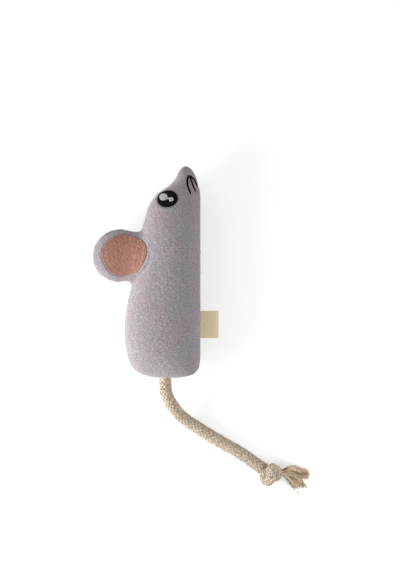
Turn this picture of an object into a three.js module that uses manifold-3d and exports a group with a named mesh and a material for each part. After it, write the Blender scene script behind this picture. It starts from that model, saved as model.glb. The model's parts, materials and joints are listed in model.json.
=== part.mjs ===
// Plush mouse cat toy, lying on its back panel: nose along +Y, ear to the left, millimetres.
// Two plush panels are sewn round the outline, turned and stuffed, and a braided rope is the tail.
import * as THREE from 'three';
import { mergeVertices } from 'three/addons/utils/BufferGeometryUtils.js';
import Module from 'manifold-3d';

const wasm = await Module();
wasm.setup();

// Body
const bodyLength = 149.3;
const bodyWidth = 53.3;
const bodyThickness = 32;
const plushThickness = 1.2;
const flatDepth = 0.5;
const touchGap = 0.3;
const turnGap = 0.6;
const overrun = 2;

// Ear: a flat lobe on a swollen root, which turns in a socket in the body
const earLobeHeight = 35.8;
const earLobeReach = 35.4;
const earThickness = 11.4;
const earRootHeight = 34;
const earRootThickness = 18.4;
const earInset = 5.6;
const earPatchWidth = 31.6;
const earPatchHeight = 30;
const earPatchCentre = 13.5;
const earPatchBorder = 1.3;

// Embroidery
const fillThickness = 0.5;
const borderThickness = 0.7;
const eyeWidth = 14.7;
const eyeHeight = 11.9;
const eyeTilt = 8;
const strokeWidth = 1.3;

// Filling
const threadDiameter = 0.8;
const filmWidth = 26;
const filmLength = 62;
const filmThickness = 0.4;
const filmCorner = 5;
const sachetWidth = 24;
const sachetLength = 38;
const sachetThickness = 9;

// Folded label in the right seam
const labelReach = 12.4;
const labelHeight = 19;
const ribbonThickness = 0.4;
const foldOpening = 0.5;

// Tail
const ropeDiameter = 9;
const ropeInnerLength = 14;
const knotWidth = 15.4;
const knotHeight = 15;
const knotWrapDiameter = 7.8;
const knotWrapTurn = 32;
const tasselLength = 21;
const tasselTurn = 45;
const wispWidth = 7;
const wispThickness = 4.4;

// Worked out from the sizes above
const skin = plushThickness + touchGap;
const seamHeight = bodyThickness / 2 - flatDepth;
const labelThickness = 2 * ribbonThickness + foldOpening;
const ropeRadius = ropeDiameter / 2;
const tasselDrop = (knotHeight - wispThickness) / 2;

// Rows across the body from nose to tail end, as shares of its width, length and thickness:
// left edge across and along, right edge across and along, thickness
const bodyRowShares = [
  [0.300, 0.500, 0.300, 0.500, 0.00],
  [0.250, 0.494, 0.348, 0.495, 0.17],
  [0.217, 0.481, 0.384, 0.483, 0.28],
  [0.188, 0.460, 0.424, 0.463, 0.39],
  [0.158, 0.434, 0.452, 0.437, 0.47],
  [0.094, 0.406, 0.474, 0.408, 0.56],
  [0.014, 0.386, 0.489, 0.384, 0.66],
  [-0.064, 0.369, 0.497, 0.362, 0.74],
  [-0.138, 0.338, 0.500, 0.332, 0.81],
  [-0.193, 0.302, 0.500, 0.300, 0.87],
  [-0.238, 0.242, 0.500, 0.250, 0.93],
  [-0.280, 0.175, 0.500, 0.190, 0.97],
  [-0.328, 0.090, 0.500, 0.105, 0.99],
  [-0.372, 0.015, 0.500, 0.025, 1.00],
  [-0.405, -0.060, 0.500, -0.055, 1.00],
  [-0.456, -0.140, 0.500, -0.140, 1.00],
  [-0.486, -0.215, 0.500, -0.215, 1.00],
  [-0.500, -0.290, 0.500, -0.290, 0.99],
  [-0.482, -0.352, 0.499, -0.352, 0.96],
  [-0.455, -0.400, 0.492, -0.400, 0.88],
  [-0.424, -0.436, 0.475, -0.434, 0.75],
  [-0.360, -0.462, 0.438, -0.460, 0.59],
  [-0.255, -0.482, 0.360, -0.480, 0.42],
  [-0.120, -0.494, 0.240, -0.493, 0.25],
  [0.060, -0.500, 0.060, -0.500, 0.00],
];

// Where the ear's root leaves the left edge, low and high, across and along the body
const earFootShares = [[-0.399, -0.0424], [-0.3005, 0.1849]];

// The ear from tip to root: reach from the root's axis as a share of the lobe's reach,
// height as a share of the lobe's height, thickness as a share of the lobe's thickness
const earRowShares = [
  [-0.980, 0.30, 0.32],
  [-0.920, 0.58, 0.56],
  [-0.820, 0.80, 0.76],
  [-0.680, 0.95, 0.93],
  [-0.520, 1.00, 1.00],
  [-0.380, 0.98, 0.99],
  [-0.270, 0.90, 0.96],
];

// The root is round about its own axis: places across it and the height left there
const rootRowShares = [-0.62, -0.25, 0.20, 0.60, 0.88];

// Embroidery on the head, across and along the body
const eyeCentreShares = [0.068, 0.341];
// Highlights, the last one a bridge: centre and size as shares of the eye
const highlightShares = [
  [-0.162, 0.129, 0.45, 0.45],
  [0.167, -0.053, 0.29, 0.33],
  [0.030, 0.030, 0.24, 0.20],
];
const whiskerShares = [
  [[0.358, 0.451], [0.328, 0.434], [0.339, 0.405], [0.375, 0.362]],
  [[0.358, 0.451], [0.382, 0.417], [0.410, 0.396], [0.440, 0.374]],
  [[0.358, 0.451], [0.398, 0.437], [0.430, 0.417], [0.458, 0.396]],
];

// Middle of the label along the body, where the rope leaves it, and where the filling lies
const labelAlongShare = -0.2462;
const tailAcrossShare = 0.038;
const filmCentreShares = [0.04, -0.14];
const sachetCentreShares = [0.02, -0.16];

// The tail's route from the middle of its root, laid by hand: it drops to the floor and lies there
const ropeRoute = [
  [0, 0, 0],
  [0.3, -3.5, -0.1],
  [1.2, -7.2, -0.4],
  [3.1, -11.2, -1.1],
  [5.6, -15.2, -2.3],
  [8.7, -19.3, -3.9],
  [12.4, -23.0, -5.7],
  [16.7, -26.4, -7.5],
  [21.4, -29.4, -9.1],
  [26.4, -32.6, -10.3],
  [32.0, -36.1, -10.9],
  [37.8, -39.5, -11.0],
  [43.7, -42.9, -11.0],
  [49.6, -46.2, -11.0],
  [55.3, -49.7, -11.0],
  [60.6, -53.4, -11.0],
  [65.2, -56.7, -11.0],
  [69.6, -59.8, -11.0],
];
const ropeSteps = 9;
const ropeSides = 10;

// The two wisps of the frayed end: place from the neck as shares of its length, height above
// the floor as a share of the drop, width and thickness as shares of a wisp's
const wispRowShares = [
  [
    [0, 0, 1, 0.68, 1],
    [0.24, 0.06, 0.6, 1, 1],
    [0.50, 0.03, 0.2, 1, 0.9],
    [0.75, -0.08, 0, 0.7, 0.7],
    [0.99, -0.15, -0.1, 0.3, 0.4],
  ],
  [
    [0, -0.03, 1, 0.68, 1],
    [0.20, -0.22, 0.5, 1, 1],
    [0.40, -0.36, 0.15, 1, 0.9],
    [0.60, -0.53, 0, 0.7, 0.7],
    [0.86, -0.66, -0.1, 0.3, 0.4],
  ],
];

// Counts
const bodySides = 20;
const bodyRings = 26;
const earSides = 16;
const threadSides = 6;
const roundSides = 16;

function solidOf(geometry) {
  const bare = geometry.clone();
  bare.deleteAttribute('normal');
  bare.deleteAttribute('uv');
  const merged = mergeVertices(bare);
  return new wasm.Manifold(new wasm.Mesh({
    numProp: 3,
    vertProperties: new Float32Array(merged.attributes.position.array),
    triVerts: new Uint32Array(merged.index.array),
  }));
}

function geometryOf(solid) {
  const mesh = solid.getMesh();
  const geometry = new THREE.BufferGeometry();
  geometry.setAttribute('position', new THREE.BufferAttribute(mesh.vertProperties, 3));
  geometry.setIndex(new THREE.BufferAttribute(mesh.triVerts, 1));
  geometry.computeVertexNormals();
  return geometry;
}

// A closed skin over rings that all have the same number of points, with a point at each end
function skinOver(firstPoint, rings, lastPoint) {
  const sides = rings[0].length;
  const points = [firstPoint, ...rings.flat(), lastPoint];
  const last = points.length - 1;
  const faces = [];
  for (let side = 0; side < sides; side += 1) {
    const next = (side + 1) % sides;
    faces.push(0, 1 + next, 1 + side);
    for (let ring = 0; ring + 1 < rings.length; ring += 1) {
      const here = 1 + ring * sides;
      const there = here + sides;
      faces.push(here + side, there + next, there + side);
      faces.push(here + side, here + next, there + next);
    }
    faces.push(last, last - sides + side, last - sides + next);
  }
  const geometry = new THREE.BufferGeometry();
  const numbers = points.flatMap((point) => point.toArray());
  geometry.setAttribute('position', new THREE.Float32BufferAttribute(numbers, 3));
  geometry.setIndex(faces);
  geometry.computeVertexNormals();
  return geometry;
}

// The same skin with each point moved out along its normal
function grown(geometry, amount) {
  const moved = geometry.clone();
  const place = moved.attributes.position;
  const normal = geometry.attributes.normal;
  for (let i = 0; i < place.count; i += 1) {
    place.setXYZ(
      i,
      place.getX(i) + amount * normal.getX(i),
      place.getY(i) + amount * normal.getY(i),
      place.getZ(i) + amount * normal.getZ(i),
    );
  }
  return moved;
}

// An oval ring: middle, half its width as a vector, half its thickness along +Z
function ovalRing(middle, halfWidth, halfThickness, sides) {
  return Array.from({ length: sides }, (_, side) => {
    const turn = (2 * Math.PI * side) / sides;
    return middle.clone()
      .addScaledVector(halfWidth, Math.cos(turn))
      .add(new THREE.Vector3(0, 0, halfThickness * Math.sin(turn)));
  });
}

function box(width, length, height, middle) {
  return solidOf(new THREE.BoxGeometry(width, length, height).translate(...middle));
}

function ellipsoid(width, length, height, middle, turn = 0) {
  const ball = new THREE.SphereGeometry(1, roundSides, roundSides / 2).rotateX(Math.PI / 2);
  return solidOf(ball.scale(width / 2, length / 2, height / 2).rotateZ(turn).translate(...middle));
}

function atShares([across, along]) {
  return new THREE.Vector3(across * bodyWidth, along * bodyLength, seamHeight);
}

// The filling's outer shape; the panels are the same shape grown by their gap and thickness
function bodyCore() {
  const widthScale = bodyWidth - 2 * skin;
  const lengthScale = bodyLength - 2 * skin;
  const thicknessScale = bodyThickness - 2 * skin;
  const curveOf = (across, along) => new THREE.CatmullRomCurve3(bodyRowShares.map((row) => (
    new THREE.Vector3(row[across] * widthScale, row[along] * lengthScale, row[4] * thicknessScale))));
  const left = curveOf(0, 1);
  const right = curveOf(2, 3);
  const rings = [];
  for (let step = 1; step < bodyRings; step += 1) {
    const share = step / bodyRings;
    const from = left.getPoint(share);
    const to = right.getPoint(share);
    const thickness = (from.z + to.z) / 2;
    const middle = from.clone().add(to).multiplyScalar(1 / 2).setZ(seamHeight);
    const halfWidth = to.clone().sub(from).multiplyScalar(1 / 2).setZ(0);
    rings.push(ovalRing(middle, halfWidth, thickness / 2, bodySides));
  }
  return skinOver(left.getPoint(0).setZ(seamHeight), rings, left.getPoint(1).setZ(seamHeight));
}

// The ear's root axis runs beside the body's left edge, between the two feet of the ear
const lowFoot = atShares(earFootShares[0]);
const highFoot = atShares(earFootShares[1]);
const earAxis = highFoot.clone().sub(lowFoot).normalize();
const earInward = new THREE.Vector3(earAxis.y, -earAxis.x, 0);
const earFootMiddle = lowFoot.clone().add(highFoot).multiplyScalar(1 / 2);
const earPivot = earFootMiddle.addScaledVector(earInward, earInset);
const earTurn = Math.atan2(-earAxis.x, earAxis.y);

function earPlaced(geometry) {
  return geometry.rotateZ(earTurn).translate(earPivot.x, earPivot.y, earPivot.z);
}

function earCore() {
  const height = earLobeHeight - 2 * skin;
  const reach = earLobeReach - skin;
  const thickness = earThickness - 2 * skin;
  const rootHeight = earRootHeight - 2 * skin;
  const rootThickness = earRootThickness - 2 * skin;
  const upright = (half) => new THREE.Vector3(0, half, 0);
  const lobe = earRowShares.map(([across, tall, thick]) => {
    const middle = new THREE.Vector3(across * reach, 0, 0);
    return ovalRing(middle, upright((tall * height) / 2), (thick * thickness) / 2, earSides);
  });
  const root = rootRowShares.map((across) => {
    const left = Math.sqrt(1 - across * across);
    const middle = new THREE.Vector3((across * rootThickness) / 2, 0, 0);
    return ovalRing(middle, upright((left * rootHeight) / 2), (left * rootThickness) / 2, earSides);
  });
  const tip = new THREE.Vector3(-reach, 0, 0);
  return earPlaced(skinOver(tip, [...lobe, ...root], new THREE.Vector3(rootThickness / 2, 0, 0)));
}

// The socket is round about the root's axis and clears the embroidery on the root
function earSocket() {
  const room = 2 * (touchGap + borderThickness + turnGap);
  const along = earRootHeight + room;
  const across = earRootThickness + room;
  return ellipsoid(across, along, across, earPivot, earTurn);
}

const upward = new THREE.Vector3(0, 0, 1);
const wholeWidth = bodyWidth + 2 * earLobeReach;
const slab = (height, middle) => box(2 * wholeWidth, 2 * bodyLength, height, [0, 0, middle]);
const seamSlit = slab(threadDiameter + 2 * touchGap, seamHeight);
const frontHalf = slab(bodyThickness, seamHeight + touchGap / 2 + bodyThickness / 2);
const backHalf = slab(bodyThickness, seamHeight - touchGap / 2 - bodyThickness / 2);
const belowFlat = slab(overrun, -overrun / 2);

const bodyForm = bodyCore();
const earForm = earCore();

// Stands at the tail end: the rope comes out along -Y and turns about a rounded root
const tailMouth = new THREE.Vector3(tailAcrossShare * bodyWidth, -bodyLength / 2, seamHeight);
const tailPivot = tailMouth.clone().add(new THREE.Vector3(0, -(ropeRadius + touchGap), 0));

function rod(diameter, length, middle) {
  const rodShape = new THREE.CylinderGeometry(diameter / 2, diameter / 2, length, ropeSides);
  return solidOf(rodShape.translate(...middle));
}

function tubeAlong(points, diameter, sides, steps) {
  const section = new THREE.Shape(Array.from({ length: sides }, (_, side) => {
    const turn = (2 * Math.PI * side) / sides;
    return new THREE.Vector2((diameter / 2) * Math.cos(turn), (diameter / 2) * Math.sin(turn));
  }));
  const route = new THREE.CatmullRomCurve3(points);
  return solidOf(new THREE.ExtrudeGeometry(section, { steps, extrudePath: route, bevelEnabled: false }));
}

// Points for the seam's thread just inside both edges of a form, and at its two ends
function edgePoints(form, sides, rings) {
  const drawnIn = grown(form, -threadDiameter / 2).attributes.position;
  const at = (index) => new THREE.Vector3().fromBufferAttribute(drawnIn, index);
  const left = Array.from({ length: rings }, (_, ring) => at(1 + ring * sides + sides / 2));
  const right = Array.from({ length: rings }, (_, ring) => at(1 + ring * sides));
  return { first: at(0), left, right, last: at(drawnIn.count - 1) };
}

// A thread with a ring at each of its points, so that it keeps beside the seam's own facets
function threadThrough(points, diameter) {
  const rings = points.map((point, index) => {
    const before = points[Math.max(index - 1, 0)];
    const after = points[Math.min(index + 1, points.length - 1)];
    const ahead = after.clone().sub(before).normalize();
    const across = new THREE.Vector3(-ahead.y, ahead.x, 0).multiplyScalar(diameter / 2);
    return ovalRing(point, across, diameter / 2, threadSides);
  });
  return solidOf(skinOver(points[0], rings, points[points.length - 1]));
}

// The room round the thread: a slit in the seam's plane, as deep as the thread and its gap
function seamRoom(form) {
  return seamSlit.subtract(solidOf(grown(form, -(threadDiameter + touchGap))));
}

function bodyThread(diameter) {
  const { first, left, right, last } = edgePoints(bodyForm, bodySides, bodyRings - 1);
  const isAbove = (point) => point.y > earPivot.y;
  const upper = left.filter(isAbove).reverse();
  const lower = left.filter((point) => !isAbove(point)).reverse();
  return threadThrough([...upper, first, ...right, last, ...lower], diameter);
}

function earThread() {
  const { first, left, right } = edgePoints(earForm, earSides, earRowShares.length);
  return threadThrough([...left.reverse(), first, ...right], threadDiameter);
}

function ovalShape(width, height) {
  return new THREE.Shape(new THREE.EllipseCurve(0, 0, width / 2, height / 2).getPoints(roundSides).slice(1));
}

function prism(shape, turn, middle) {
  const tall = 2 * bodyThickness;
  const block = new THREE.ExtrudeGeometry(shape, { depth: tall, bevelEnabled: false, steps: 1 });
  return solidOf(block.translate(0, 0, -tall / 2).rotateZ(turn).translate(middle.x, middle.y, middle.z));
}

// A line of even width with square ends through a few points
function strokeShape(points) {
  const line = new THREE.SplineCurve(points.map((point) => new THREE.Vector2(point.x, point.y)));
  const count = 2 * points.length;
  const sides = [[], []];
  for (let step = 0; step <= count; step += 1) {
    const place = line.getPoint(step / count);
    const ahead = line.getTangent(step / count);
    const out = new THREE.Vector2(-ahead.y, ahead.x).multiplyScalar(strokeWidth / 2);
    sides[0].push(place.clone().add(out));
    sides[1].unshift(place.clone().sub(out));
  }
  return new THREE.Shape(sides.flat());
}

// Thread laid on the plush: the outline cut out of a thin layer just above the panel
function stitched(outline, form, thickness, half) {
  const outer = solidOf(grown(form, skin + touchGap + thickness));
  const inner = solidOf(grown(form, skin + touchGap));
  return outer.subtract(inner).intersect(outline).intersect(half);
}

function eyeOutlines() {
  const centre = atShares(eyeCentreShares);
  const turn = THREE.MathUtils.degToRad(eyeTilt);
  const spots = (extra) => highlightShares.map(([across, along, wide, tall]) => {
    const offset = new THREE.Vector3(across * eyeWidth, along * eyeHeight, 0).applyAxisAngle(upward, turn);
    const shape = ovalShape(wide * eyeWidth + extra, tall * eyeHeight + extra);
    return prism(shape, turn, offset.add(centre));
  });
  const join = (solids) => solids.reduce((whole, solid) => whole.add(solid));
  const whole = prism(ovalShape(eyeWidth, eyeHeight), turn, centre);
  return { eye: whole.subtract(join(spots(2 * touchGap))), highlights: join(spots(0)) };
}

function whiskerOutline() {
  const here = new THREE.Vector3();
  const strokes = whiskerShares.map((places) => prism(strokeShape(places.map(atShares)), 0, here));
  return strokes.reduce((whole, stroke) => whole.add(stroke));
}

function earPatchOutline(grow) {
  const shape = ovalShape(earPatchWidth + 2 * grow, earPatchHeight + 2 * grow);
  const centre = earPivot.clone().addScaledVector(earInward, -earPatchCentre);
  return prism(shape, earTurn, centre);
}

const parts = [];
function addPart(name, solid, colour, roughness) {
  const material = new THREE.MeshStandardMaterial({ color: colour, roughness, metalness: 0 });
  const mesh = new THREE.Mesh(geometryOf(solid), material);
  mesh.name = name;
  parts.push(mesh);
}

const plushColour = 0x958d95;
const threadColour = 0x8a828a;
const fillColour = 0xf1efe9;
const filmColour = 0xd8dcdd;
const sachetColour = 0xdcd3bd;
const blackThread = 0x14100f;
const whiteThread = 0xc8c8ca;
const patchColour = 0xa87c6e;
const borderColour = 0xb88f80;
const ribbonColour = 0xcbbb96;
const ropeColour = 0xbcac95;
const frayColour = 0xb39b7d;

// Body
const socket = earSocket();
const ropeBore = rod(ropeDiameter + 2 * touchGap, ropeInnerLength + overrun, tailMouth.clone()
  .add(new THREE.Vector3(0, (ropeInnerLength - overrun) / 2, 0)));
const bodySkin = solidOf(grown(bodyForm, skin)).subtract(solidOf(grown(bodyForm, touchGap)))
  .subtract(socket).subtract(ropeBore);
addPart('front_panel', bodySkin.intersect(frontHalf), plushColour, 0.95);
addPart('back_panel', bodySkin.intersect(backHalf).subtract(belowFlat), plushColour, 0.95);

addPart('body_seam_thread', bodyThread(threadDiameter).subtract(socket), threadColour, 0.8);

const filmPlace = atShares(filmCentreShares);
const sachetPlace = atShares(sachetCentreShares).setZ(skin + sachetThickness / 2 - flatDepth);
function roundedPlate(width, length, corner) {
  const shape = new THREE.Shape();
  const x = width / 2;
  const y = length / 2;
  shape.absarc(x - corner, y - corner, corner, 0, Math.PI / 2);
  shape.absarc(corner - x, y - corner, corner, Math.PI / 2, Math.PI);
  shape.absarc(corner - x, corner - y, corner, Math.PI, 1.5 * Math.PI);
  shape.absarc(x - corner, corner - y, corner, 1.5 * Math.PI, 2 * Math.PI);
  return prism(shape, 0, filmPlace);
}
const filling = solidOf(bodyForm);
const film = filling.subtract(solidOf(grown(bodyForm, -filmThickness)))
  .intersect(roundedPlate(filmWidth, filmLength, filmCorner)).intersect(frontHalf);
const filmRoom = roundedPlate(filmWidth + 2 * touchGap, filmLength + 2 * touchGap, filmCorner + touchGap)
  .subtract(solidOf(grown(bodyForm, -(filmThickness + touchGap)))).intersect(frontHalf);
const sachet = ellipsoid(sachetWidth, sachetLength, sachetThickness, sachetPlace).intersect(filling);
const sachetRoom = ellipsoid(
  sachetWidth + 2 * touchGap, sachetLength + 2 * touchGap, sachetThickness + 2 * touchGap, sachetPlace);
const innerEnd = rod(ropeDiameter, ropeInnerLength + ropeRadius, tailMouth.clone()
  .add(new THREE.Vector3(0, (ropeInnerLength - ropeRadius) / 2, 0)));
const rootRoomWidth = ropeDiameter + 2 * touchGap;
const rootRoom = ellipsoid(rootRoomWidth, rootRoomWidth, 2 * rootRoomWidth, tailPivot);
const stuffing = filling.subtract(socket).subtract(ropeBore).subtract(seamRoom(bodyForm))
  .subtract(filmRoom).subtract(sachetRoom);
addPart('body_stuffing', stuffing, fillColour, 1);
addPart('crinkle_film', film, filmColour, 0.3);
addPart('silver_vine_sachet', sachet, sachetColour, 0.9);
const threadHole = bodyThread(threadDiameter + 2 * touchGap);
addPart('tail_inner_end', innerEnd.subtract(rootRoom).subtract(threadHole), ropeColour, 0.9);

// Ear
const earSkin = solidOf(grown(earForm, skin)).subtract(solidOf(grown(earForm, touchGap)));
addPart('ear_front_panel', earSkin.intersect(frontHalf), plushColour, 0.95);
addPart('ear_back_panel', earSkin.intersect(backHalf), plushColour, 0.95);
addPart('ear_wadding', solidOf(earForm).subtract(seamRoom(earForm)), fillColour, 1);
addPart('ear_seam_thread', earThread(), threadColour, 0.8);

// Embroidery on both faces
const { eye, highlights } = eyeOutlines();
const whiskers = whiskerOutline();
const patchFill = earPatchOutline(-earPatchBorder - touchGap);
const patchBorder = earPatchOutline(0).subtract(earPatchOutline(-earPatchBorder));
[['front', frontHalf], ['back', backHalf]].forEach(([side, half]) => {
  const fillOn = (form, outline) => stitched(outline, form, fillThickness, half);
  addPart(`eye_${side}`, fillOn(bodyForm, eye), blackThread, 0.45);
  addPart(`eye_highlights_${side}`, fillOn(bodyForm, highlights), whiteThread, 0.45);
  addPart(`whiskers_${side}`, fillOn(bodyForm, whiskers), blackThread, 0.5);
  addPart(`ear_patch_${side}`, fillOn(earForm, patchFill), patchColour, 0.6);
  const border = stitched(patchBorder, earForm, borderThickness, half);
  addPart(`ear_patch_border_${side}`, border, borderColour, 0.55);
});

// Label: a ribbon folded double, seen from below as a U that opens at the seam
function labelSolid() {
  const outer = labelThickness / 2;
  const inner = foldOpening / 2;
  const bend = labelReach - outer;
  const shape = new THREE.Shape();
  shape.moveTo(0, -outer);
  shape.lineTo(bend, -outer);
  shape.absarc(bend, 0, outer, -Math.PI / 2, Math.PI / 2, false);
  shape.lineTo(0, outer);
  shape.lineTo(0, inner);
  shape.lineTo(bend, inner);
  shape.absarc(bend, 0, inner, Math.PI / 2, -Math.PI / 2, true);
  shape.lineTo(0, -inner);
  const ribbon = new THREE.ExtrudeGeometry(shape, {
    depth: labelHeight, bevelEnabled: false, steps: 1, curveSegments: roundSides / 4,
  });
  return ribbon.rotateX(Math.PI / 2).translate(0, labelHeight / 2, 0);
}
const labelPivot = new THREE.Vector3(
  bodyWidth / 2 + touchGap + labelThickness / 2, labelAlongShare * bodyLength, seamHeight);
addPart('side_label', solidOf(labelSolid().translate(...labelPivot)), ribbonColour, 0.7);

// Tail
const ropePoints = ropeRoute.map(([x, y, z]) => new THREE.Vector3(x, y, z).add(tailPivot));
const ropeEnd = ropePoints[ropePoints.length - 1];
const ropeAhead = ropeEnd.clone().sub(ropePoints[ropePoints.length - 2]).setZ(0).normalize();
const ropeBearing = Math.atan2(ropeAhead.y, ropeAhead.x);
const knotCentre = ropeEnd.clone().addScaledVector(ropeAhead, (knotWidth - ropeRadius) / 2)
  .setZ(knotHeight / 2);
const rope = tubeAlong(ropePoints, ropeDiameter, ropeSides, ropeSteps)
  .add(ellipsoid(ropeDiameter, ropeDiameter, ropeDiameter, tailPivot));
addPart('tail_rope', rope, ropeColour, 0.9);

// The knot, or the room round it: a core and two wraps of the rope, each turned from its line
function knotSolid(extra) {
  const wrapRadius = knotWrapDiameter / 2;
  const coreHeight = knotHeight - knotWrapDiameter + 2 * extra;
  const core = ellipsoid(knotWidth + 2 * extra, coreHeight, coreHeight, knotCentre, ropeBearing);
  const wraps = [-1, 1].map((way) => {
    const ringRadius = knotHeight / 2 - wrapRadius;
    const ring = new THREE.TorusGeometry(ringRadius, wrapRadius + extra, ropeSides, roundSides);
    const turn = ropeBearing - way * THREE.MathUtils.degToRad(knotWrapTurn);
    const middle = knotCentre.clone().addScaledVector(ropeAhead, (way * (knotWidth - knotWrapDiameter)) / 4);
    return solidOf(ring.rotateY(Math.PI / 2).rotateZ(turn).translate(...middle));
  });
  return core.add(wraps[0]).add(wraps[1]);
}
const ropeRoom = tubeAlong(
  [...ropePoints.slice(-4), ropeEnd.clone().addScaledVector(ropeAhead, touchGap)],
  ropeDiameter + 2 * touchGap, ropeSides, ropeSteps);

function wisp(rows) {
  const leaving = ropeAhead.clone().applyAxisAngle(upward, THREE.MathUtils.degToRad(tasselTurn));
  const neck = knotCentre.clone().addScaledVector(leaving, (knotWidth - wispThickness) / 2);
  const places = rows.map(([x, y, drop]) => new THREE.Vector3(
    neck.x + x * tasselLength, neck.y + y * tasselLength, wispThickness / 2 + drop * tasselDrop));
  const line = new THREE.CatmullRomCurve3(places);
  const rings = rows.map(([, , , wide, thick], index) => {
    const ahead = line.getTangent(index / (rows.length - 1));
    const across = new THREE.Vector3(-ahead.y, ahead.x, 0).normalize().multiplyScalar((wide * wispWidth) / 2);
    return ovalRing(places[index], across, (thick * wispThickness) / 2, ropeSides);
  });
  return solidOf(skinOver(places[0], rings, places[places.length - 1]));
}
const tassel = wispRowShares.map(wisp).reduce((whole, solid) => whole.add(solid));
addPart('tail_knot', knotSolid(0).subtract(ropeRoom), ropeColour, 0.9);
addPart('tail_tassel', tassel.subtract(knotSolid(touchGap)), frayColour, 0.85);

// The origin lies on the floor under the middle of the toy, its loose tail left aside
const looseTail = ['tail_rope', 'tail_knot', 'tail_tassel'];
const standing = new THREE.Box3();
parts.filter((part) => !looseTail.includes(part.name)).forEach((part) => standing.expandByObject(part));
const middle = standing.getCenter(new THREE.Vector3());
const toy = new THREE.Group().add(...parts);
toy.position.set(-middle.x, -middle.y, -standing.min.z);

export default toy;
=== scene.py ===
import json
import math

import bmesh
import bpy
import numpy as np
from mathutils import Matrix, Vector, noise
from mathutils.bvhtree import BVHTree


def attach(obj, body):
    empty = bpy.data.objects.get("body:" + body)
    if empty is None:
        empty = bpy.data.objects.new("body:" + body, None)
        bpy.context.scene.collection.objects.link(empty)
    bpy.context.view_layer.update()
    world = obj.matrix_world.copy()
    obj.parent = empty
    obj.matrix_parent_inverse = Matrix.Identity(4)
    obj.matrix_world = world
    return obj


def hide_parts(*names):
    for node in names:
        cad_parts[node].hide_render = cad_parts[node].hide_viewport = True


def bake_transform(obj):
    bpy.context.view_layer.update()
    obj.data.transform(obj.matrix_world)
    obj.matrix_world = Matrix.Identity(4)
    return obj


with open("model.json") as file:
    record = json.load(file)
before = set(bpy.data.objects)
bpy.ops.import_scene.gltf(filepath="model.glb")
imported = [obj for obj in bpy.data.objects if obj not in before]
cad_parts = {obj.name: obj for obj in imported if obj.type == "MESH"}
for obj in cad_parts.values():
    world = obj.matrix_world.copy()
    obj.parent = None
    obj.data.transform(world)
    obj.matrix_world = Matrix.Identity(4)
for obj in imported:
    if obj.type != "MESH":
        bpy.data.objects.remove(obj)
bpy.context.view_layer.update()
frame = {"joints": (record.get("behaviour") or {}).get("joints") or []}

joints = {joint["name"]: joint for joint in frame["joints"]}
MM = 0.001
UP = Vector((0, 0, 1))
# A direction in which no line here starts
LEAN = (0.13, 0.31, 1)

# The photograph: millimetres on the object for each pixel, and the place under its middle
PIXEL = 0.70 * MM
IMAGE_HEIGHT = 570
IMAGE_MIDDLE = Vector((30.4, -7.6, 15.5)) * MM
CAMERA_DISTANCE = 1600 * MM
SENSOR_HEIGHT = 36

# Floor and light
FLOOR_WIDTH = 6
# How much the floor glows for the camera: near the object, where its shadow lies, and farther off
FLOOR_GLOW = 0.45
FAR_FLOOR_GLOW = 0.8
SHADOW_REACH = 180 * MM
PLAIN_REACH = 420 * MM
ROOM_LIGHT = 0.385
LAMPS_AIM = Vector((20, -30, 15)) * MM
# Each lamp's place, its width and how bright it makes a white sheet that faces it
LAMPS = {
    "window": (Vector((-365, -165, 122)) * MM, 250 * MM, 1.5),
    "far_window": (Vector((-230, 330, 160)) * MM, 300 * MM, 0.17),
    "white_wall": (Vector((390, -200, 245)) * MM, 300 * MM, 0.44),
}

# Body
BODY_LENGTH = 149.3 * MM
BODY_WIDTH = 53.3 * MM
BODY_THICKNESS = 32 * MM
BODY_MIDDLE = Vector((4.0813, 1.5192, 15.5)) * MM
SEAM_HEIGHT = BODY_MIDDLE.z
# Neither pile nor hair goes below this height
LOWEST = 0.2 * MM

# Rows across the body from nose to tail end, as shares of its width, length and thickness:
# left edge across and along, right edge across and along, thickness
BODY_ROWS = [
    (0.300, 0.500, 0.300, 0.500, 0.00),
    (0.250, 0.494, 0.348, 0.495, 0.17),
    (0.217, 0.481, 0.384, 0.483, 0.28),
    (0.188, 0.460, 0.424, 0.463, 0.39),
    (0.158, 0.434, 0.452, 0.437, 0.47),
    (0.094, 0.406, 0.474, 0.408, 0.56),
    (0.014, 0.386, 0.489, 0.384, 0.66),
    (-0.064, 0.369, 0.497, 0.362, 0.74),
    (-0.138, 0.338, 0.500, 0.332, 0.81),
    (-0.193, 0.302, 0.500, 0.300, 0.87),
    (-0.238, 0.242, 0.500, 0.250, 0.93),
    (-0.280, 0.175, 0.500, 0.190, 0.97),
    (-0.328, 0.090, 0.500, 0.105, 0.99),
    (-0.372, 0.015, 0.500, 0.025, 1.00),
    (-0.405, -0.060, 0.500, -0.055, 1.00),
    (-0.456, -0.140, 0.500, -0.140, 1.00),
    (-0.486, -0.215, 0.500, -0.215, 1.00),
    (-0.500, -0.290, 0.500, -0.290, 0.99),
    (-0.482, -0.352, 0.499, -0.352, 0.96),
    (-0.455, -0.400, 0.499, -0.402, 0.88),
    (-0.424, -0.436, 0.489, -0.440, 0.75),
    (-0.360, -0.462, 0.456, -0.468, 0.59),
    (-0.255, -0.482, 0.372, -0.487, 0.42),
    (-0.120, -0.494, 0.240, -0.493, 0.25),
    (0.060, -0.500, 0.060, -0.500, 0.00),
]

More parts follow.
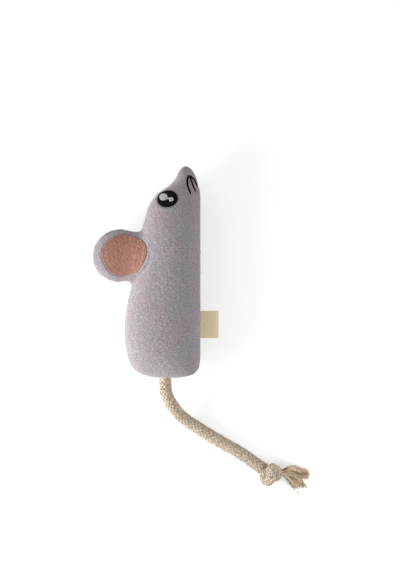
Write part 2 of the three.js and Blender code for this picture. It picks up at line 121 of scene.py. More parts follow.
# Rows across the ear from its tip into the body, in millimetres: place along X, low edge and
# high edge along Y, half the thickness
EAR_ROWS = [
    (-44.50, 11.98, 11.98, 0.0),
    (-43.66, 6.52, 17.37, 1.9),
    (-42.47, 4.14, 20.38, 2.8),
    (-40.79, 1.97, 23.11, 3.7),
    (-38.97, 0.22, 25.28, 4.4),
    (-36.59, -1.60, 27.17, 5.0),
    (-33.93, -3.21, 28.85, 5.4),
    (-31.27, -4.33, 29.97, 5.6),
    (-28.54, -4.96, 30.60, 5.7),
    (-25.88, -4.96, 30.95, 5.7),
    (-23.22, -4.47, 30.74, 5.8),
    (-20.56, -4.19, 29.97, 6.1),
    (-17.83, -4.60, 29.27, 6.7),
    (-15.17, -5.00, 28.71, 7.6),
    (-12.30, -5.00, 28.20, 8.5),
    (-9.50, -3.00, 27.00, 9.0),
    (-6.70, 0.00, 24.00, 8.0),
    (-4.50, 12.00, 12.00, 0.0),
]

# Sewing, stuffing and pile
OUTLINE_INSET = -0.35 * MM
# The ear's outline is spread from this place, in millimetres, because the pile hides its edge
EAR_SPREAD = 1.07
EAR_SPREAD_FROM = (-26, 13)
# Below 1 the ear's two faces are flatter and its rim rounder
EAR_FLATNESS = 0.65
THICKNESS_INSET = 1.1 * MM
VOXEL = 2 * MM
STEPS_PER_ROW = 4
ROW_SIDES = 40
# How far above and below the seam the simulation holds the cloth
SEAM_HOLD = VOXEL * 0.75
STUFFING_PRESSURE = 4
STUFFING_FRAMES = 20
FARTHEST_SWELL = 2 * MM
FILLING_INSET = 2.4 * MM
PANEL_THICKNESS = 1.2 * MM
SEAM_GAP = 0.3 * MM
SEAM_DEPTH = 0.7 * MM
SEAM_REACH = 0.8 * MM
SEAM_THREAD_DIAMETER = 0.8 * MM
SEAM_THREAD_STEP = 1.2 * MM
# The seam's line is read a little above its middle, where no point of the form lies
SEAM_LINE_OFFSET = SEAM_GAP / 9
# Lumps of the filling
LUMP = 9 * MM
LUMP_HEIGHT = 0.6 * MM
# Pile clings together in clumps, with clumps half as wide and this share as high among them
CLUMP = 2 * MM
CLUMP_HEIGHT = 0.14 * MM
HALF_CLUMP_SHARE = 0.5
TUFT = 0.9 * MM
# One fibre of the pile as it is drawn
PILE_LENGTH = 1.1 * MM
PILE_WIDTH = 0.28 * MM
CREASE_HEIGHT = 0.25 * MM
CREASE_SPAN = 16 * MM

# Ditch between the ear and the body: places in the frame and depth, in millimetres
DITCH = [
    (-4.8, 18.5, 0.1),
    (-4.2, 13.5, 0.3),
    (-4.8, 9.8, 0.4),
    (-6.0, 6.7, 0.7),
    (-7.9, 3.5, 1.2),
    (-10.7, 0.7, 1.5),
    (-13.9, -1.8, 1.5),
    (-16.8, -3.9, 1.1),
]
DITCH_WIDTH = 1.5 * MM

# Embroidery: middles in the frame, and sizes
EYE_MIDDLE = Vector((7.71, 52.43)) * MM
EYE_WIDTH = 14.7 * MM
EYE_HEIGHT = 11.9 * MM
EYE_TURN = math.radians(8)
# Highlights, the last one a bridge: middle and size as shares of the eye
HIGHLIGHTS = [
    (-0.165, 0.125, 0.42, 0.45),
    (0.180, -0.075, 0.26, 0.30),
    (0.045, 0.010, 0.22, 0.13),
]
WHISKERS = [
    [(22.9, 69.1), (21.7, 66.4), (21.7, 62.9), (22.5, 59.9), (24.2, 55.7)],
    [(22.9, 69.1), (24.3, 66.0), (25.8, 61.7), (27.7, 57.4)],
    [(22.9, 69.1), (25.7, 66.9), (27.5, 64.3), (28.7, 60.9)],
]
STROKE_WIDTH = 1.3 * MM
STROKE_THICKNESS = 0.6 * MM
STROKE_STITCH = 0.9 * MM
# How much narrower and thinner a whisker is between two stitches
STROKE_WAIST = 0.12
STROKE_DIP = 0.25
# A whisker's tips: how steeply they widen along it, and their share of its width at the end
STROKE_TIP = 9
STROKE_END = 0.05
# The share of its width by which the pile gives way beside it
STROKE_PRESS = 0.3
# Millimetres between the points of a whisker's line
WHISKER_STEP = 1.0
EAR_PATCH_MIDDLE = Vector((-22.5, 13.5)) * MM
# The ear patch's edge: angle from +X in degrees, and how far it is from the middle in millimetres
EAR_PATCH_EDGE = [
    (10, 16.1), (24, 16.5), (36, 16.3), (48, 15.0), (70, 14.1), (95, 14.3), (117, 14.4),
    (140, 15.0), (161, 15.7), (177, 15.9), (194, 15.3), (214, 15.1), (234, 15.6), (246, 15.7),
    (265, 14.9), (282, 14.4), (298, 14.9), (320, 14.4), (342, 14.7), (358, 15.5),
]
# Degrees over which a corner of that edge is eased
EDGE_EASING = 19
EAR_PATCH_BORDER = 1.3 * MM
EAR_PATCH_SIZE = 15.2 * MM
# How thick each embroidery is, how far apart its threads are and how high they stand
EYE_RELIEF = 0.7 * MM, 0.9 * MM, 0.16 * MM
HIGHLIGHT_RELIEF = 0.9 * MM, 0.8 * MM, 0.16 * MM
PATCH_RELIEF = 0.6 * MM, 1.25 * MM, 0.16 * MM
BORDER_RELIEF = 0.74 * MM, 0.9 * MM, 0.08 * MM
# How deep the stitches press the pile down, and how far beside them it comes up again
SINK = 0.5 * MM
SINK_EDGE = 1.8 * MM
SINK_OFFSET = 0.3
# How deep the bottom of a slab of stitches and the middle of a whisker lie, as shares of SINK
SLAB_ROOT = 1.5
STROKE_ROOT = 0.75
# How far apart the points of a stitched surface are
STITCH_STEP = 0.33 * MM
# Points across the ear patch's border, the power that rounds its section, and the share of it
# that lies on the filling
BAND_POINTS = 7
BORDER_SQUARE = 4
BORDER_OVERLAP = 0.7
EDGE_ROUND = 0.5 * MM
FILL_TURN = math.radians(-63)
# Where the needle goes in along a filling: stitch, how far each row is shifted against the
# last as a share of a stitch, how deep the dip is as a share of the thread, and how sharp
STITCH_LENGTH = 4.2 * MM
ROW_SHIFT = 0.38
DIP = 0.6
DIP_SHARPNESS = 90

# Inside the body: crinkle film under the front, and a pocket with the sachet at the back
FILM_MIDDLE = Vector((6.2, -19.4)) * MM
FILM_WIDTH = 26 * MM
FILM_LENGTH = 62 * MM
FILM_DEPTH = 1.75 * MM
FILM_THICKNESS = 0.1 * MM
FILM_STEP = 0.8 * MM
CRINKLE = 5 * MM
CRINKLE_HEIGHT = 0.3 * MM
CRINKLE_STRENGTH = 3
SACHET_MIDDLE = Vector((5.1, -22.4)) * MM
SACHET_WIDTH = 24 * MM
SACHET_LENGTH = 38 * MM
SACHET_THICKNESS = 7 * MM
SACHET_EDGE = 0.5 * MM
SACHET_DEPTH = 1.7 * MM
# Shares of the sachet's half width and half length that are filled; the rest is its sewn edge
SACHET_FILLED = 0.92, 0.95
# A filled bag's fullness falls off towards its edges with these two powers
PUFF_SQUARE = 4
PUFF_ROUND = 0.6
# A normal that points lower than this belongs to the back
BACK_FACING = -0.3

# Label
LABEL_PIVOT = Vector(joints["label_flap"]["pos_m"])
LABEL_REACH = 11.8 * MM
LABEL_HEIGHT = 19 * MM
LABEL_ROOT = 3.5 * MM
RIBBON_THICKNESS = 0.4 * MM
FOLD_OPENING = 0.5 * MM
FOLD_RADIUS = 1 * MM
LABEL_STEP = 0.45 * MM
FOLD_POINTS = 15
# The free end hangs a little and waves along its height, over this many radians
LABEL_DROOP = 0.9 * MM
LABEL_WAVE = 0.35 * MM
LABEL_WAVE_TURN = 4.4
LABEL_WAVE_START = 0.6
# The woven edge: how much thicker it is, where it starts on the ribbon's half height and the
# share of that height over which it rises
SELVEDGE = 0.35
SELVEDGE_FROM = 0.93
SELVEDGE_EASE = 0.04
WEAVE_SPACING = 0.5 * MM
# A wave texture's scale times its spacing
WAVE = 0.314

# Tail: its route from the middle of its root, in millimetres. It drops to the
# floor and lies there
TAIL_PIVOT = Vector(joints["tail_swing"]["pos_m"])
ROPE_DIAMETER = 9 * MM
ROPE_INNER_LENGTH = 14 * MM
ROPE_STRANDS = 18
BRAID_LAY = 39
STRAND_THICKNESS_SHARE = 0.12
STRAND_LIFT_SHARE = 0.05
STRAND_FILL = 0.98
# Fine lines and flecks in the yarn for each millimetre across it
YARN_LINES = 1.5
YARN_FLECKS = 1.2
# How far apart the shades of two neighbouring strands lie
STRAND_SHADE = 0.37
POINTS_PER_CROSSING = 4
CORE_SIDES = 12
MOUTH_TO_PIVOT = 4.8 * MM
ROPE_ROUTE = [
    (0, 0, 0),
    (0.3, -3.5, -0.2),
    (1.2, -7.2, -0.9),
    (3.1, -11.2, -2.4),
    (5.6, -15.2, -4.5),
    (8.7, -19.3, -6.9),
    (12.4, -23.0, -9.0),
    (16.7, -26.4, -10.3),
    (21.4, -29.4, -10.9),
    (26.4, -32.6, -11.0),
    (32.0, -36.1, -11.0),
    (37.8, -39.5, -11.0),
    (43.7, -42.9, -11.0),
    (49.6, -46.2, -11.0),
    (55.3, -49.7, -11.0),
    (60.6, -53.4, -11.0),
    (65.2, -56.7, -11.0),
    (69.6, -59.8, -11.0),
]
# The knot's own line from its middle, in millimetres: in under the wrap, round the right, over
# the front, round the lower left and out through the loop
KNOT_MIDDLE = Vector((80.16, -140.87, 7.5)) * MM
KNOT_ROPE_DIAMETER = 7.4 * MM
KNOT_STRANDS = 14
# The knot's rope along its line, as shares of its size: pulled tight where it comes out
KNOT_GATHER = (0.9, 1, 1, 1, 1, 1, 0.85, 0.62)
KNOT_LINE = [
    (-8.0, 5.2, -3.0),
    (-4.0, 2.6, -2.8),
    (0.5, -0.6, -2.6),
    (3.6, -1.5, -1.8),
    (4.6, 1.0, 0.2),
    (2.8, 3.6, 1.2),
    (0.6, 4.4, 2.2),
    (0.2, 1.5, 3.7),
    (-0.2, -2.2, 3.3),
    (-1.2, -4.4, 0.8),
    (-3.4, -4.2, -1.8),
    (-4.2, -1.0, -1.2),
    (-2.5, 2.0, -1.0),
    (1.5, 1.0, -0.5),
    (5.5, 1.2, -0.8),
    (8.5, 1.9, -0.8),
]
# The frayed end's wisps: the lines along the two edges of each, in millimetres in the frame
WISPS = [
    (
        [(86.6, -138.6, 7.6), (90.6, -136.4, 8.8), (94.4, -134.5, 8.6), (98.2, -135.0, 7.2),
         (102.2, -136.8, 5.6), (105.6, -139.0, 3.8), (108.2, -140.8, 2.4)],
        [(86.6, -139.8, 6.2), (90.2, -141.0, 6.4), (93.6, -142.1, 6.0), (97.5, -142.9, 5.0),
         (101.0, -143.5, 3.6), (104.2, -144.2, 2.6), (107.0, -144.9, 1.6)],
    ),
    (
        [(86.6, -139.2, 7.2), (90.6, -140.4, 7.0), (94.6, -141.6, 6.2), (98.8, -143.1, 5.0),
         (101.8, -145.2, 3.8), (104.4, -148.4, 2.8), (106.4, -151.4, 2.0)],
        [(86.6, -140.4, 6.0), (89.6, -142.2, 6.0), (91.6, -144.2, 5.2), (93.4, -146.6, 4.4),
         (94.6, -148.6, 3.4), (95.8, -150.2, 2.4), (97.0, -151.6, 1.2)],
    ),
]
FIBRES_PER_WISP = 200
FIBRE_DIAMETER = 0.42 * MM
FIBRE_DIAMETER_SPREAD = 0.4
FIBRE_TAPER = (0.8, 1, 1, 0.9, 0.35)
FIBRE_STEP = 1.1 * MM
# The shortest fibre as a share of its wisp, and the power that makes long ones more common
SHORTEST_FIBRE = 0.62
LONG_FIBRES = 0.6
LOWEST_FIBRE = 0.5 * MM
# Fibres cling in bundles across a wisp: how many, how far from the wisp's edges, how far a
# fibre strays from its bundle, and how far both rise or fall as shares of the wisp's depth
BUNDLES_PER_WISP = 7
BUNDLE_MARGIN = 0.03
BUNDLE_WIDTH = 0.04
BUNDLE_RISE = 0.8
FIBRE_RISE = 0.5
# Half the wisp's depth at its neck and at its end, in millimetres, and how it rounds off
# towards its edges: the first part of a half wave and the part that it spans
WISP_DEPTH = (0.6, 1.8)
WISP_ROUND = (0.2, 0.6)
# How much a fibre wavers at its end, in millimetres: most little, some much
WAVERS = (0.15, 0.25, 0.4, 1)
WAVER_AT_NECK = 0.1
# Bundles take separate shades, and the fibres of one differ a little
BUNDLE_SHADES = 40
FIBRE_SHADES = 0.3
HAIR_DIAMETER = 0.15 * MM
HAIR_LENGTH = 2.2 * MM
HAIR_TAPER = (1, 0.9, 0.6)
# A hair as shares: where it starts on the rope's radius, then how far it rises and runs on
# along the rope, in its first half and in its second, which may also fall
HAIR_ROOT = 0.94
HAIR_RISES = (0, 0.25), (-0.15, 0.15)
HAIR_RUNS = (0.4, 0.5)
HAIRS_ON_ROPE = 1100
HAIRS_ON_KNOT = 450
# A pale thread that has come loose under the frayed end, in millimetres in the frame
LOOSE_THREAD = [
    (93.0, -146.6, 3.4), (94.6, -149.0, 1.8), (96.6, -150.6, 1.0), (97.6, -152.8, 0.7),
    (99.4, -154.0, 0.6), (100.0, -156.2, 0.5),
]
LOOSE_THREAD_DIAMETER = 0.6 * MM
chance = np.random.default_rng(7)


# Making nodes, lines and meshes

def linear(code):
    """An sRGB hex colour as the linear colour that a shader takes."""
    parts = [int(code[i:i + 2], 16) / 255 for i in (1, 3, 5)]
    return [p / 12.92 if p <= 0.04045 else ((p + 0.055) / 1.055) ** 2.4 for p in parts] + [1]


def add_node(tree, kind, settings=None, links=None):
    """A node with its settings and its links. A setting is a property, an input by name or
    number, or a colour ramp's "stops" as places and hex colours."""
    node = tree.nodes.new(kind)
    for key, value in (settings or {}).items():
        if key == "stops":
            for place, code in value[1:-1]:
                node.color_ramp.elements.new(place).color = linear(code)
            for element, (place, code) in zip(node.color_ramp.elements, value):
                element.position = place
                element.color = linear(code)
        elif isinstance(key, str) and hasattr(node, key):
            setattr(node, key, value)
        else:
            node.inputs[key].default_value = value
    for key, source in (links or {}).items():
        tree.links.new(source, node.inputs[key])
    return node


def new_material(name):
    """A material with only its output, and its node tree."""
    made = bpy.data.materials.new(name)
    made.use_nodes = True
    made.node_tree.nodes.clear()
    add_node(made.node_tree, "ShaderNodeOutputMaterial")
    return made, made.node_tree


def show(tree, shader):
    """Links a shader to the output that the tree already has."""
    output = next(node for node in tree.nodes if "Output" in node.bl_idname)
    tree.links.new(shader.outputs[0], output.inputs["Surface"])


def new_piece(name, points, faces, material, grain=None):
    """A smooth mesh object. grain gives each point a place on its own thread: along it, round
    it, and which thread it is."""
    mesh = bpy.data.meshes.new(name)
    mesh.from_pydata([tuple(point) for point in points], [], [tuple(face) for face in faces])
    mesh.shade_smooth()
    mesh.materials.append(material)
    if grain is not None:
        mesh.attributes.new("grain", "FLOAT_VECTOR", "POINT")
        mesh.attributes["grain"].data.foreach_set("vector", np.asarray(grain, float).ravel())
    piece = bpy.data.objects.new(name, mesh)
    bpy.context.scene.collection.objects.link(piece)
    return piece


def joined(forms):
    """Several (points, faces, grain) as one."""
    points, faces, grains, count = [], [], [], 0
    for form_points, form_faces, grain in forms:
        points.append(form_points)
        faces += [tuple(index + count for index in face) for face in form_faces]
        grains.append(grain)
        count += len(form_points)
    return np.vstack(points), faces, np.vstack(grains)


def skin_over(rings, first, last):
    """The closed skin over rings of points, with a point at each end."""
    count, sides = rings.shape[:2]
    points = np.vstack([rings.reshape(-1, 3), [first, last]])
    faces = []
    for side in range(sides):
        turned = (side + 1) % sides
        faces.append((count * sides, turned, side))
        for ring in range(count - 1):
            here = ring * sides
            faces.append((here + side, here + turned, here + sides + turned, here + sides + side))
        end = (count - 1) * sides
        faces.append((count * sides + 1, end + side, end + turned))
    return points, faces


def smooth_values(rows, steps):
    """Rows of numbers with steps more between each two, on smooth curves through all of them."""
    rows = np.array(rows, float)
    padded = np.vstack([2 * rows[0] - rows[1], rows, 2 * rows[-1] - rows[-2]])
    shares = np.arange(steps)[:, None] / steps
    made = []
    for a, b, c, d in zip(padded, padded[1:], padded[2:], padded[3:]):
        made.append(0.5 * (2 * b + (c - a) * shares + (2 * a - 5 * b + 4 * c - d) * shares ** 2
                           + (3 * b - a - 3 * c + d) * shares ** 3))
    return np.vstack([*made, rows[-1:]])


def evenly(points, step):
    """A smooth line through points, with its points step apart."""
    dense = smooth_values(points, 16)
    reach = np.r_[0, np.cumsum(np.linalg.norm(np.diff(dense, axis=0), axis=1))]
    even = np.linspace(0, reach[-1], max(2, round(reach[-1] / step) + 1))
    return np.stack([np.interp(even, reach, dense[:, axis]) for axis in range(3)], 1), even


def unit(vectors):
    """Vectors of length 1."""
    return vectors / np.linalg.norm(vectors, axis=-1, keepdims=True)


def frames_along(points):
    """The way ahead and two ways across at each point of a line, without twist."""
    ahead = unit(np.gradient(points, axis=0))
    side = np.zeros_like(points)
    across = unit(np.cross(ahead[0], LEAN))
    for index, way in enumerate(ahead):
        across = unit(across - way * np.dot(across, way))
        side[index] = across
    return ahead, side, np.cross(ahead, side)


def thread(points, reach, wide, thick, side, rise, sides=6, which=0.0):
    """A closed tube with an oval section along points. wide and thick are its half sizes."""
    turns = np.linspace(0, 2 * math.pi, sides, endpoint=False)
    rings = (points[:, None] + np.cos(turns)[None, :, None] * (side * wide)[:, None]
             + np.sin(turns)[None, :, None] * (rise * thick)[:, None])
    made, faces = skin_over(rings, points[0], points[-1])
    grain = np.zeros((len(made), 3))
    grain[:-2, 0] = np.repeat(reach, sides)
    grain[:-2, 1] = np.tile(turns, len(points)) * np.mean(wide)
    grain[-2:, 0] = reach[0], reach[-1]
    grain[:, 2] = which
    return made, faces, grain


def round_thread(line, step, diameter, sides=6, which=0.0, taper=None):
    """A round thread on a smooth line; taper gives its size along it as a share."""
    points, reach = evenly(line, step)
    _, side, rise = frames_along(points)
    radius = np.full((len(points), 1), diameter / 2)
    if taper is not None:
        radius *= np.interp(reach / reach[-1], np.linspace(0, 1, len(taper)), taper)[:, None]
    return thread(points, reach, radius, radius, side, rise, sides, which)


def settle(piece):
    """What the modifiers give becomes the piece's own mesh."""
    depsgraph = bpy.context.evaluated_depsgraph_get()
    mesh = bpy.data.meshes.new_from_object(piece.evaluated_get(depsgraph))
    piece.modifiers.clear()
    old = piece.data
    piece.data = mesh
    mesh.name = old.name
    bpy.data.meshes.remove(old)


def places(mesh, key="co", block="vertices"):
    """Every point's place, or its normal, as rows of an array."""
    values = np.zeros(len(getattr(mesh, block)) * 3)
    getattr(mesh, block).foreach_get(key, values)
    return values.reshape(-1, 3)


def set_places(mesh, points):
    """Moves every point of a mesh."""
    mesh.vertices.foreach_set("co", np.asarray(points).ravel())
    mesh.update()


def smoothstep(value):
    """Eased from 0 to 1 as the value goes from 0 to 1."""
    share = np.clip(value, 0, 1)
    return share * share * (3 - 2 * share)


# Camera, floor and light

def set_camera():
    """Straight above, as the photograph is taken, with its frame worked out from its scale."""
    data = bpy.data.cameras.new("camera")
    data.sensor_fit = "VERTICAL"
    data.sensor_height = SENSOR_HEIGHT
    data.lens = SENSOR_HEIGHT * CAMERA_DISTANCE / (IMAGE_HEIGHT * PIXEL)
    data.clip_start = CAMERA_DISTANCE / 100
    data.clip_end = FLOOR_WIDTH * 2
    camera = bpy.data.objects.new("camera", data)
    camera.location = IMAGE_MIDDLE + UP * CAMERA_DISTANCE
    bpy.context.scene.collection.objects.link(camera)
    bpy.context.scene.camera = camera


def seen_directly(tree):
    """1 where the camera looks, itself or by gloss or glass, and 0 for light on its way."""
    path = add_node(tree, "ShaderNodeLightPath")
    gloss = add_node(tree, "ShaderNodeMath", {"operation": "MAXIMUM"},
                     {0: path.outputs["Is Glossy Ray"], 1: path.outputs["Is Transmission Ray"]})
    return add_node(tree, "ShaderNodeMath", {"operation": "MAXIMUM"},
                    {0: path.outputs["Is Camera Ray"], 1: gloss.outputs[0]})


def set_floor():
    """White paper, lifted to white for the camera alone, which keeps the shadow on it."""
    made, tree = new_material("white_paper_sweep")
    paper = add_node(tree, "ShaderNodeBsdfDiffuse", {"Color": linear("#e4e4e4")})
    place = add_node(tree, "ShaderNodeTexCoord")
    far = add_node(tree, "ShaderNodeVectorMath", {"operation": "LENGTH"}, {
        0: place.outputs["Object"]})
    lift = add_node(tree, "ShaderNodeMapRange", {
        1: SHADOW_REACH, 2: PLAIN_REACH, 3: FLOOR_GLOW, 4: FAR_FLOOR_GLOW}, {
        0: far.outputs["Value"]})
    glow = add_node(tree, "ShaderNodeEmission", None, {"Strength": lift.outputs[0]})
    lifted = add_node(tree, "ShaderNodeAddShader", None, {0: paper.outputs[0], 1: glow.outputs[0]})
    show(tree, add_node(tree, "ShaderNodeMixShader", None, {
        0: seen_directly(tree).outputs[0], 1: paper.outputs[0], 2: lifted.outputs[0]}))
    half = FLOOR_WIDTH / 2
    corners = [(-half, -half, 0), (half, -half, 0), (half, half, 0), (-half, half, 0)]
    new_piece("floor", corners, [(0, 1, 2, 3)], made)


def set_light():
    """An even room, a soft low window at the lower left, a weaker one at the upper left and a
    weaker pale wall at the right."""
    world = bpy.data.worlds.new("room")
    bpy.context.scene.world = world
    world.use_nodes = True
    tree = world.node_tree
    tree.nodes.clear()
    add_node(tree, "ShaderNodeOutputWorld")
    room = add_node(tree, "ShaderNodeBackground", {"Strength": ROOM_LIGHT, "Color": (1, 1, 1, 1)})
    white = add_node(tree, "ShaderNodeBackground", {"Strength": 1, "Color": (1, 1, 1, 1)})
    show(tree, add_node(tree, "ShaderNodeMixShader", None, {
        0: seen_directly(tree).outputs[0], 1: room.outputs[0], 2: white.outputs[0]}))
    for name, (place, width, level) in LAMPS.items():
        data = bpy.data.lights.new(name, "AREA")
        data.shape = "DISK"
        data.size = width
        data.energy = level * math.pi ** 2 * (place - LAMPS_AIM).length_squared
        lamp = bpy.data.objects.new(name, data)
        lamp.location = place
        lamp.rotation_euler = (place - LAMPS_AIM).to_track_quat("Z", "Y").to_euler()
        lamp.visible_camera = False
        bpy.context.scene.collection.objects.link(lamp)
    bpy.context.scene.view_settings.view_transform = "Standard"


# Materials

def velour_plush():
    """Cut polyester pile, short and matt: tufts painted lighter at their tips as painted light
    and darker in their gaps as painted shade, fine fibres that lie towards the tail, and a soft
    pale sheen where it is seen along the pile. The fibres are drawn a few times thicker than
    real ones, so that they show."""
    made, tree = new_material("cut_pile_polyester_velour")
    place = add_node(tree, "ShaderNodeTexCoord").outputs["Object"]
    tufts = add_node(tree, "ShaderNodeTexNoise", {
        "Scale": 1 / TUFT, "Detail": 2, "Roughness": 0.6, "Distortion": 0.4}, {"Vector": place})
    combed = add_node(tree, "ShaderNodeMapping", {
        "Scale": (1 / PILE_WIDTH, 1 / PILE_LENGTH, 1 / PILE_WIDTH)}, {"Vector": place})
    fibres = add_node(tree, "ShaderNodeTexNoise", {
        "Scale": 1, "Detail": 2, "Roughness": 0.6, "Distortion": 0.6}, {
        "Vector": combed.outputs[0]})
    pile = add_node(tree, "ShaderNodeMix", {0: 0.42}, {2: tufts.outputs[0], 3: fibres.outputs[0]})
    drift = add_node(tree, "ShaderNodeTexNoise", {"Scale": 1 / CREASE_SPAN, "Detail": 2}, {
        "Vector": place})
    # Painted light on the pile's high tips and painted shade in its low gaps, from the pattern that
    # also drives the relief
    cool = add_node(tree, "ShaderNodeValToRGB", {"stops": [
        (0.39, "#85828b"), (0.5, "#99959a"), (0.61, "#adaaae")]}, {0: pile.outputs[0]})
    warm = add_node(tree, "ShaderNodeValToRGB", {"stops": [
        (0.39, "#897e84"), (0.5, "#9d9297"), (0.61, "#b1a7aa")]}, {0: pile.outputs[0]})
    tint = add_node(tree, "ShaderNodeMapRange", {1: 0.36, 2: 0.64}, {0: drift.outputs[0]})
    colour = add_node(tree, "ShaderNodeMix", {"data_type": "RGBA"}, {
        0: tint.outputs[0], 6: cool.outputs[0], 7: warm.outputs[0]})
    relief = add_node(tree, "ShaderNodeBump", {"Strength": 0.6, "Distance": PILE_WIDTH}, {
        "Height": pile.outputs[0]})
    show(tree, add_node(tree, "ShaderNodeBsdfPrincipled", {
        "Roughness": 0.95, "Specular IOR Level": 0.2, "Sheen Weight": 0.8,
        "Sheen Roughness": 0.4, "Sheen Tint": linear("#f6efe9")}, {
        "Base Color": colour.outputs[2], "Normal": relief.outputs[0]}))
    return made


def stitched_thread(name, stops, spacing, length, gloss, sheen):
    """Polyester embroidery thread: close parallel lines with a satin gloss, which the gaps
    between the threads weaken. The lines' colour is painted lighter on the threads' backs as
    painted light and darker in the gaps between them as painted shade. The lines are drawn
    about twice as wide as the real 0.4 mm thread, so that they show."""
    made, tree = new_material(name)
    grain = add_node(tree, "ShaderNodeAttribute", {"attribute_name": "grain"}).outputs["Vector"]
    stretched = add_node(tree, "ShaderNodeMapping", {"Scale": (1 / length, 1 / spacing, 1)}, {
        "Vector": grain})
    strands = add_node(tree, "ShaderNodeTexNoise", {"Scale": 1, "Detail": 2, "Roughness": 0.6}, {
        "Vector": stretched.outputs[0]})
    # Painted light on the threads' backs and painted shade between them, from the pattern that also
    # drives the relief
    colour = add_node(tree, "ShaderNodeValToRGB", {"stops": stops}, {0: strands.outputs[0]})
    relief = add_node(tree, "ShaderNodeBump", {"Strength": 0.35, "Distance": 0.12 * MM}, {
        "Height": strands.outputs[0]})
    show(tree, add_node(tree, "ShaderNodeBsdfPrincipled", {
        "Roughness": 0.6, "Specular IOR Level": gloss, "Sheen Weight": sheen,
        "Sheen Roughness": 0.3}, {
        "Base Color": colour.outputs[0], "Normal": relief.outputs[0]}))
    return made


def plaited_fibre(name, stops, fleck, fleck_length, roughness):
    """Cotton and jute yarn: dull, with fine fibres along each strand, each strand its own
    shade, and darker flecks of straw, while a fibre's tone runs on for twice a fleck's length.
    Real fibres are under 0.1 mm; here they are lines about 0.7 mm wide, so that they show."""
    made, tree = new_material(name)
    grain = add_node(tree, "ShaderNodeAttribute", {"attribute_name": "grain"}).outputs["Vector"]
    along = add_node(tree, "ShaderNodeMapping", {
        "Scale": (0.5 / fleck_length, YARN_LINES / MM, 1)}, {"Vector": grain})
    fibres = add_node(tree, "ShaderNodeTexNoise", {"Scale": 1, "Detail": 3, "Roughness": 0.65}, {
        "Vector": along.outputs[0]})
    patches = add_node(tree, "ShaderNodeMapping", {
        "Scale": (1 / fleck_length, YARN_FLECKS / MM, 3)}, {"Vector": grain})
    flecks = add_node(tree, "ShaderNodeTexNoise", {"Scale": 1, "Detail": 2}, {
        "Vector": patches.outputs[0]})
    mixed = add_node(tree, "ShaderNodeMix", {0: 0.45}, {2: fibres.outputs[0], 3: flecks.outputs[0]})
    shade = add_node(tree, "ShaderNodeValToRGB", {"stops": stops}, {0: mixed.outputs[0]})
    spot = add_node(tree, "ShaderNodeMapRange", {1: 0.5, 2: 0.7}, {0: flecks.outputs[0]})
    colour = add_node(tree, "ShaderNodeMix", {"data_type": "RGBA", 7: linear(fleck)}, {
        0: spot.outputs[0], 6: shade.outputs[0]})
    relief = add_node(tree, "ShaderNodeBump", {"Strength": 0.6, "Distance": 0.15 * MM}, {
        "Height": fibres.outputs[0]})
    show(tree, add_node(tree, "ShaderNodeBsdfPrincipled", {
        "Roughness": roughness, "Specular IOR Level": 0.3, "Sheen Weight": 0.5,
        "Sheen Tint": linear("#fff4e2")}, {
        "Base Color": colour.outputs[2], "Normal": relief.outputs[0]}))
    return made


def woven_ribbon():
    """Polyester label ribbon in plain weave: fine crossing threads, soft and slightly glossy,
    with a little wear. The real 0.2 mm threads are drawn 0.5 mm wide, so that they show."""
    made, tree = new_material("woven_polyester_ribbon")
    grain = add_node(tree, "ShaderNodeAttribute", {"attribute_name": "grain"}).outputs["Vector"]
    warp = add_node(tree, "ShaderNodeTexWave", {
        "bands_direction": "X", "Scale": WAVE / WEAVE_SPACING, "Distortion": 0.4}, {
        "Vector": grain})
    weft = add_node(tree, "ShaderNodeTexWave", {
        "bands_direction": "Y", "Scale": WAVE / WEAVE_SPACING, "Distortion": 0.4}, {
        "Vector": grain})
    weave = add_node(tree, "ShaderNodeMath", {"operation": "MULTIPLY"}, {
        0: warp.outputs[1], 1: weft.outputs[1]})
    wear = add_node(tree, "ShaderNodeTexNoise", {"Scale": 0.4 / MM, "Detail": 3}, {
        "Vector": grain})
    both = add_node(tree, "ShaderNodeMix", {0: 0.5}, {2: weave.outputs[0], 3: wear.outputs[0]})
    colour = add_node(tree, "ShaderNodeValToRGB", {"stops": [
        (0.1, "#e4d3a7"), (0.4, "#eddcb5"), (0.8, "#f1e5c7")]}, {0: both.outputs[0]})
    relief = add_node(tree, "ShaderNodeBump", {"Strength": 0.5, "Distance": 0.08 * MM}, {
        "Height": weave.outputs[0]})
    show(tree, add_node(tree, "ShaderNodeBsdfPrincipled", {
        "Roughness": 0.62, "Sheen Weight": 0.3}, {
        "Base Color": colour.outputs[0], "Normal": relief.outputs[0]}))
    return made


def inner_material(name, low, high, span, roughness, bump):
    """A plain material of an inner piece: two shades that mottle over span, and a relief of
    the same pattern."""
    made, tree = new_material(name)
    place = add_node(tree, "ShaderNodeTexCoord").outputs["Object"]
    mottle = add_node(tree, "ShaderNodeTexNoise", {"Scale": 1 / span, "Detail": 4}, {
        "Vector": place})
    colour = add_node(tree, "ShaderNodeValToRGB", {"stops": [(0.3, low), (0.7, high)]}, {
        0: mottle.outputs[0]})
    relief = add_node(tree, "ShaderNodeBump", {"Strength": bump, "Distance": span / 4}, {
        "Height": mottle.outputs[0]})
    show(tree, add_node(tree, "ShaderNodeBsdfPrincipled", {"Roughness": roughness}, {
        "Base Color": colour.outputs[0], "Normal": relief.outputs[0]}))
    return made


# Tail: the cord comes first

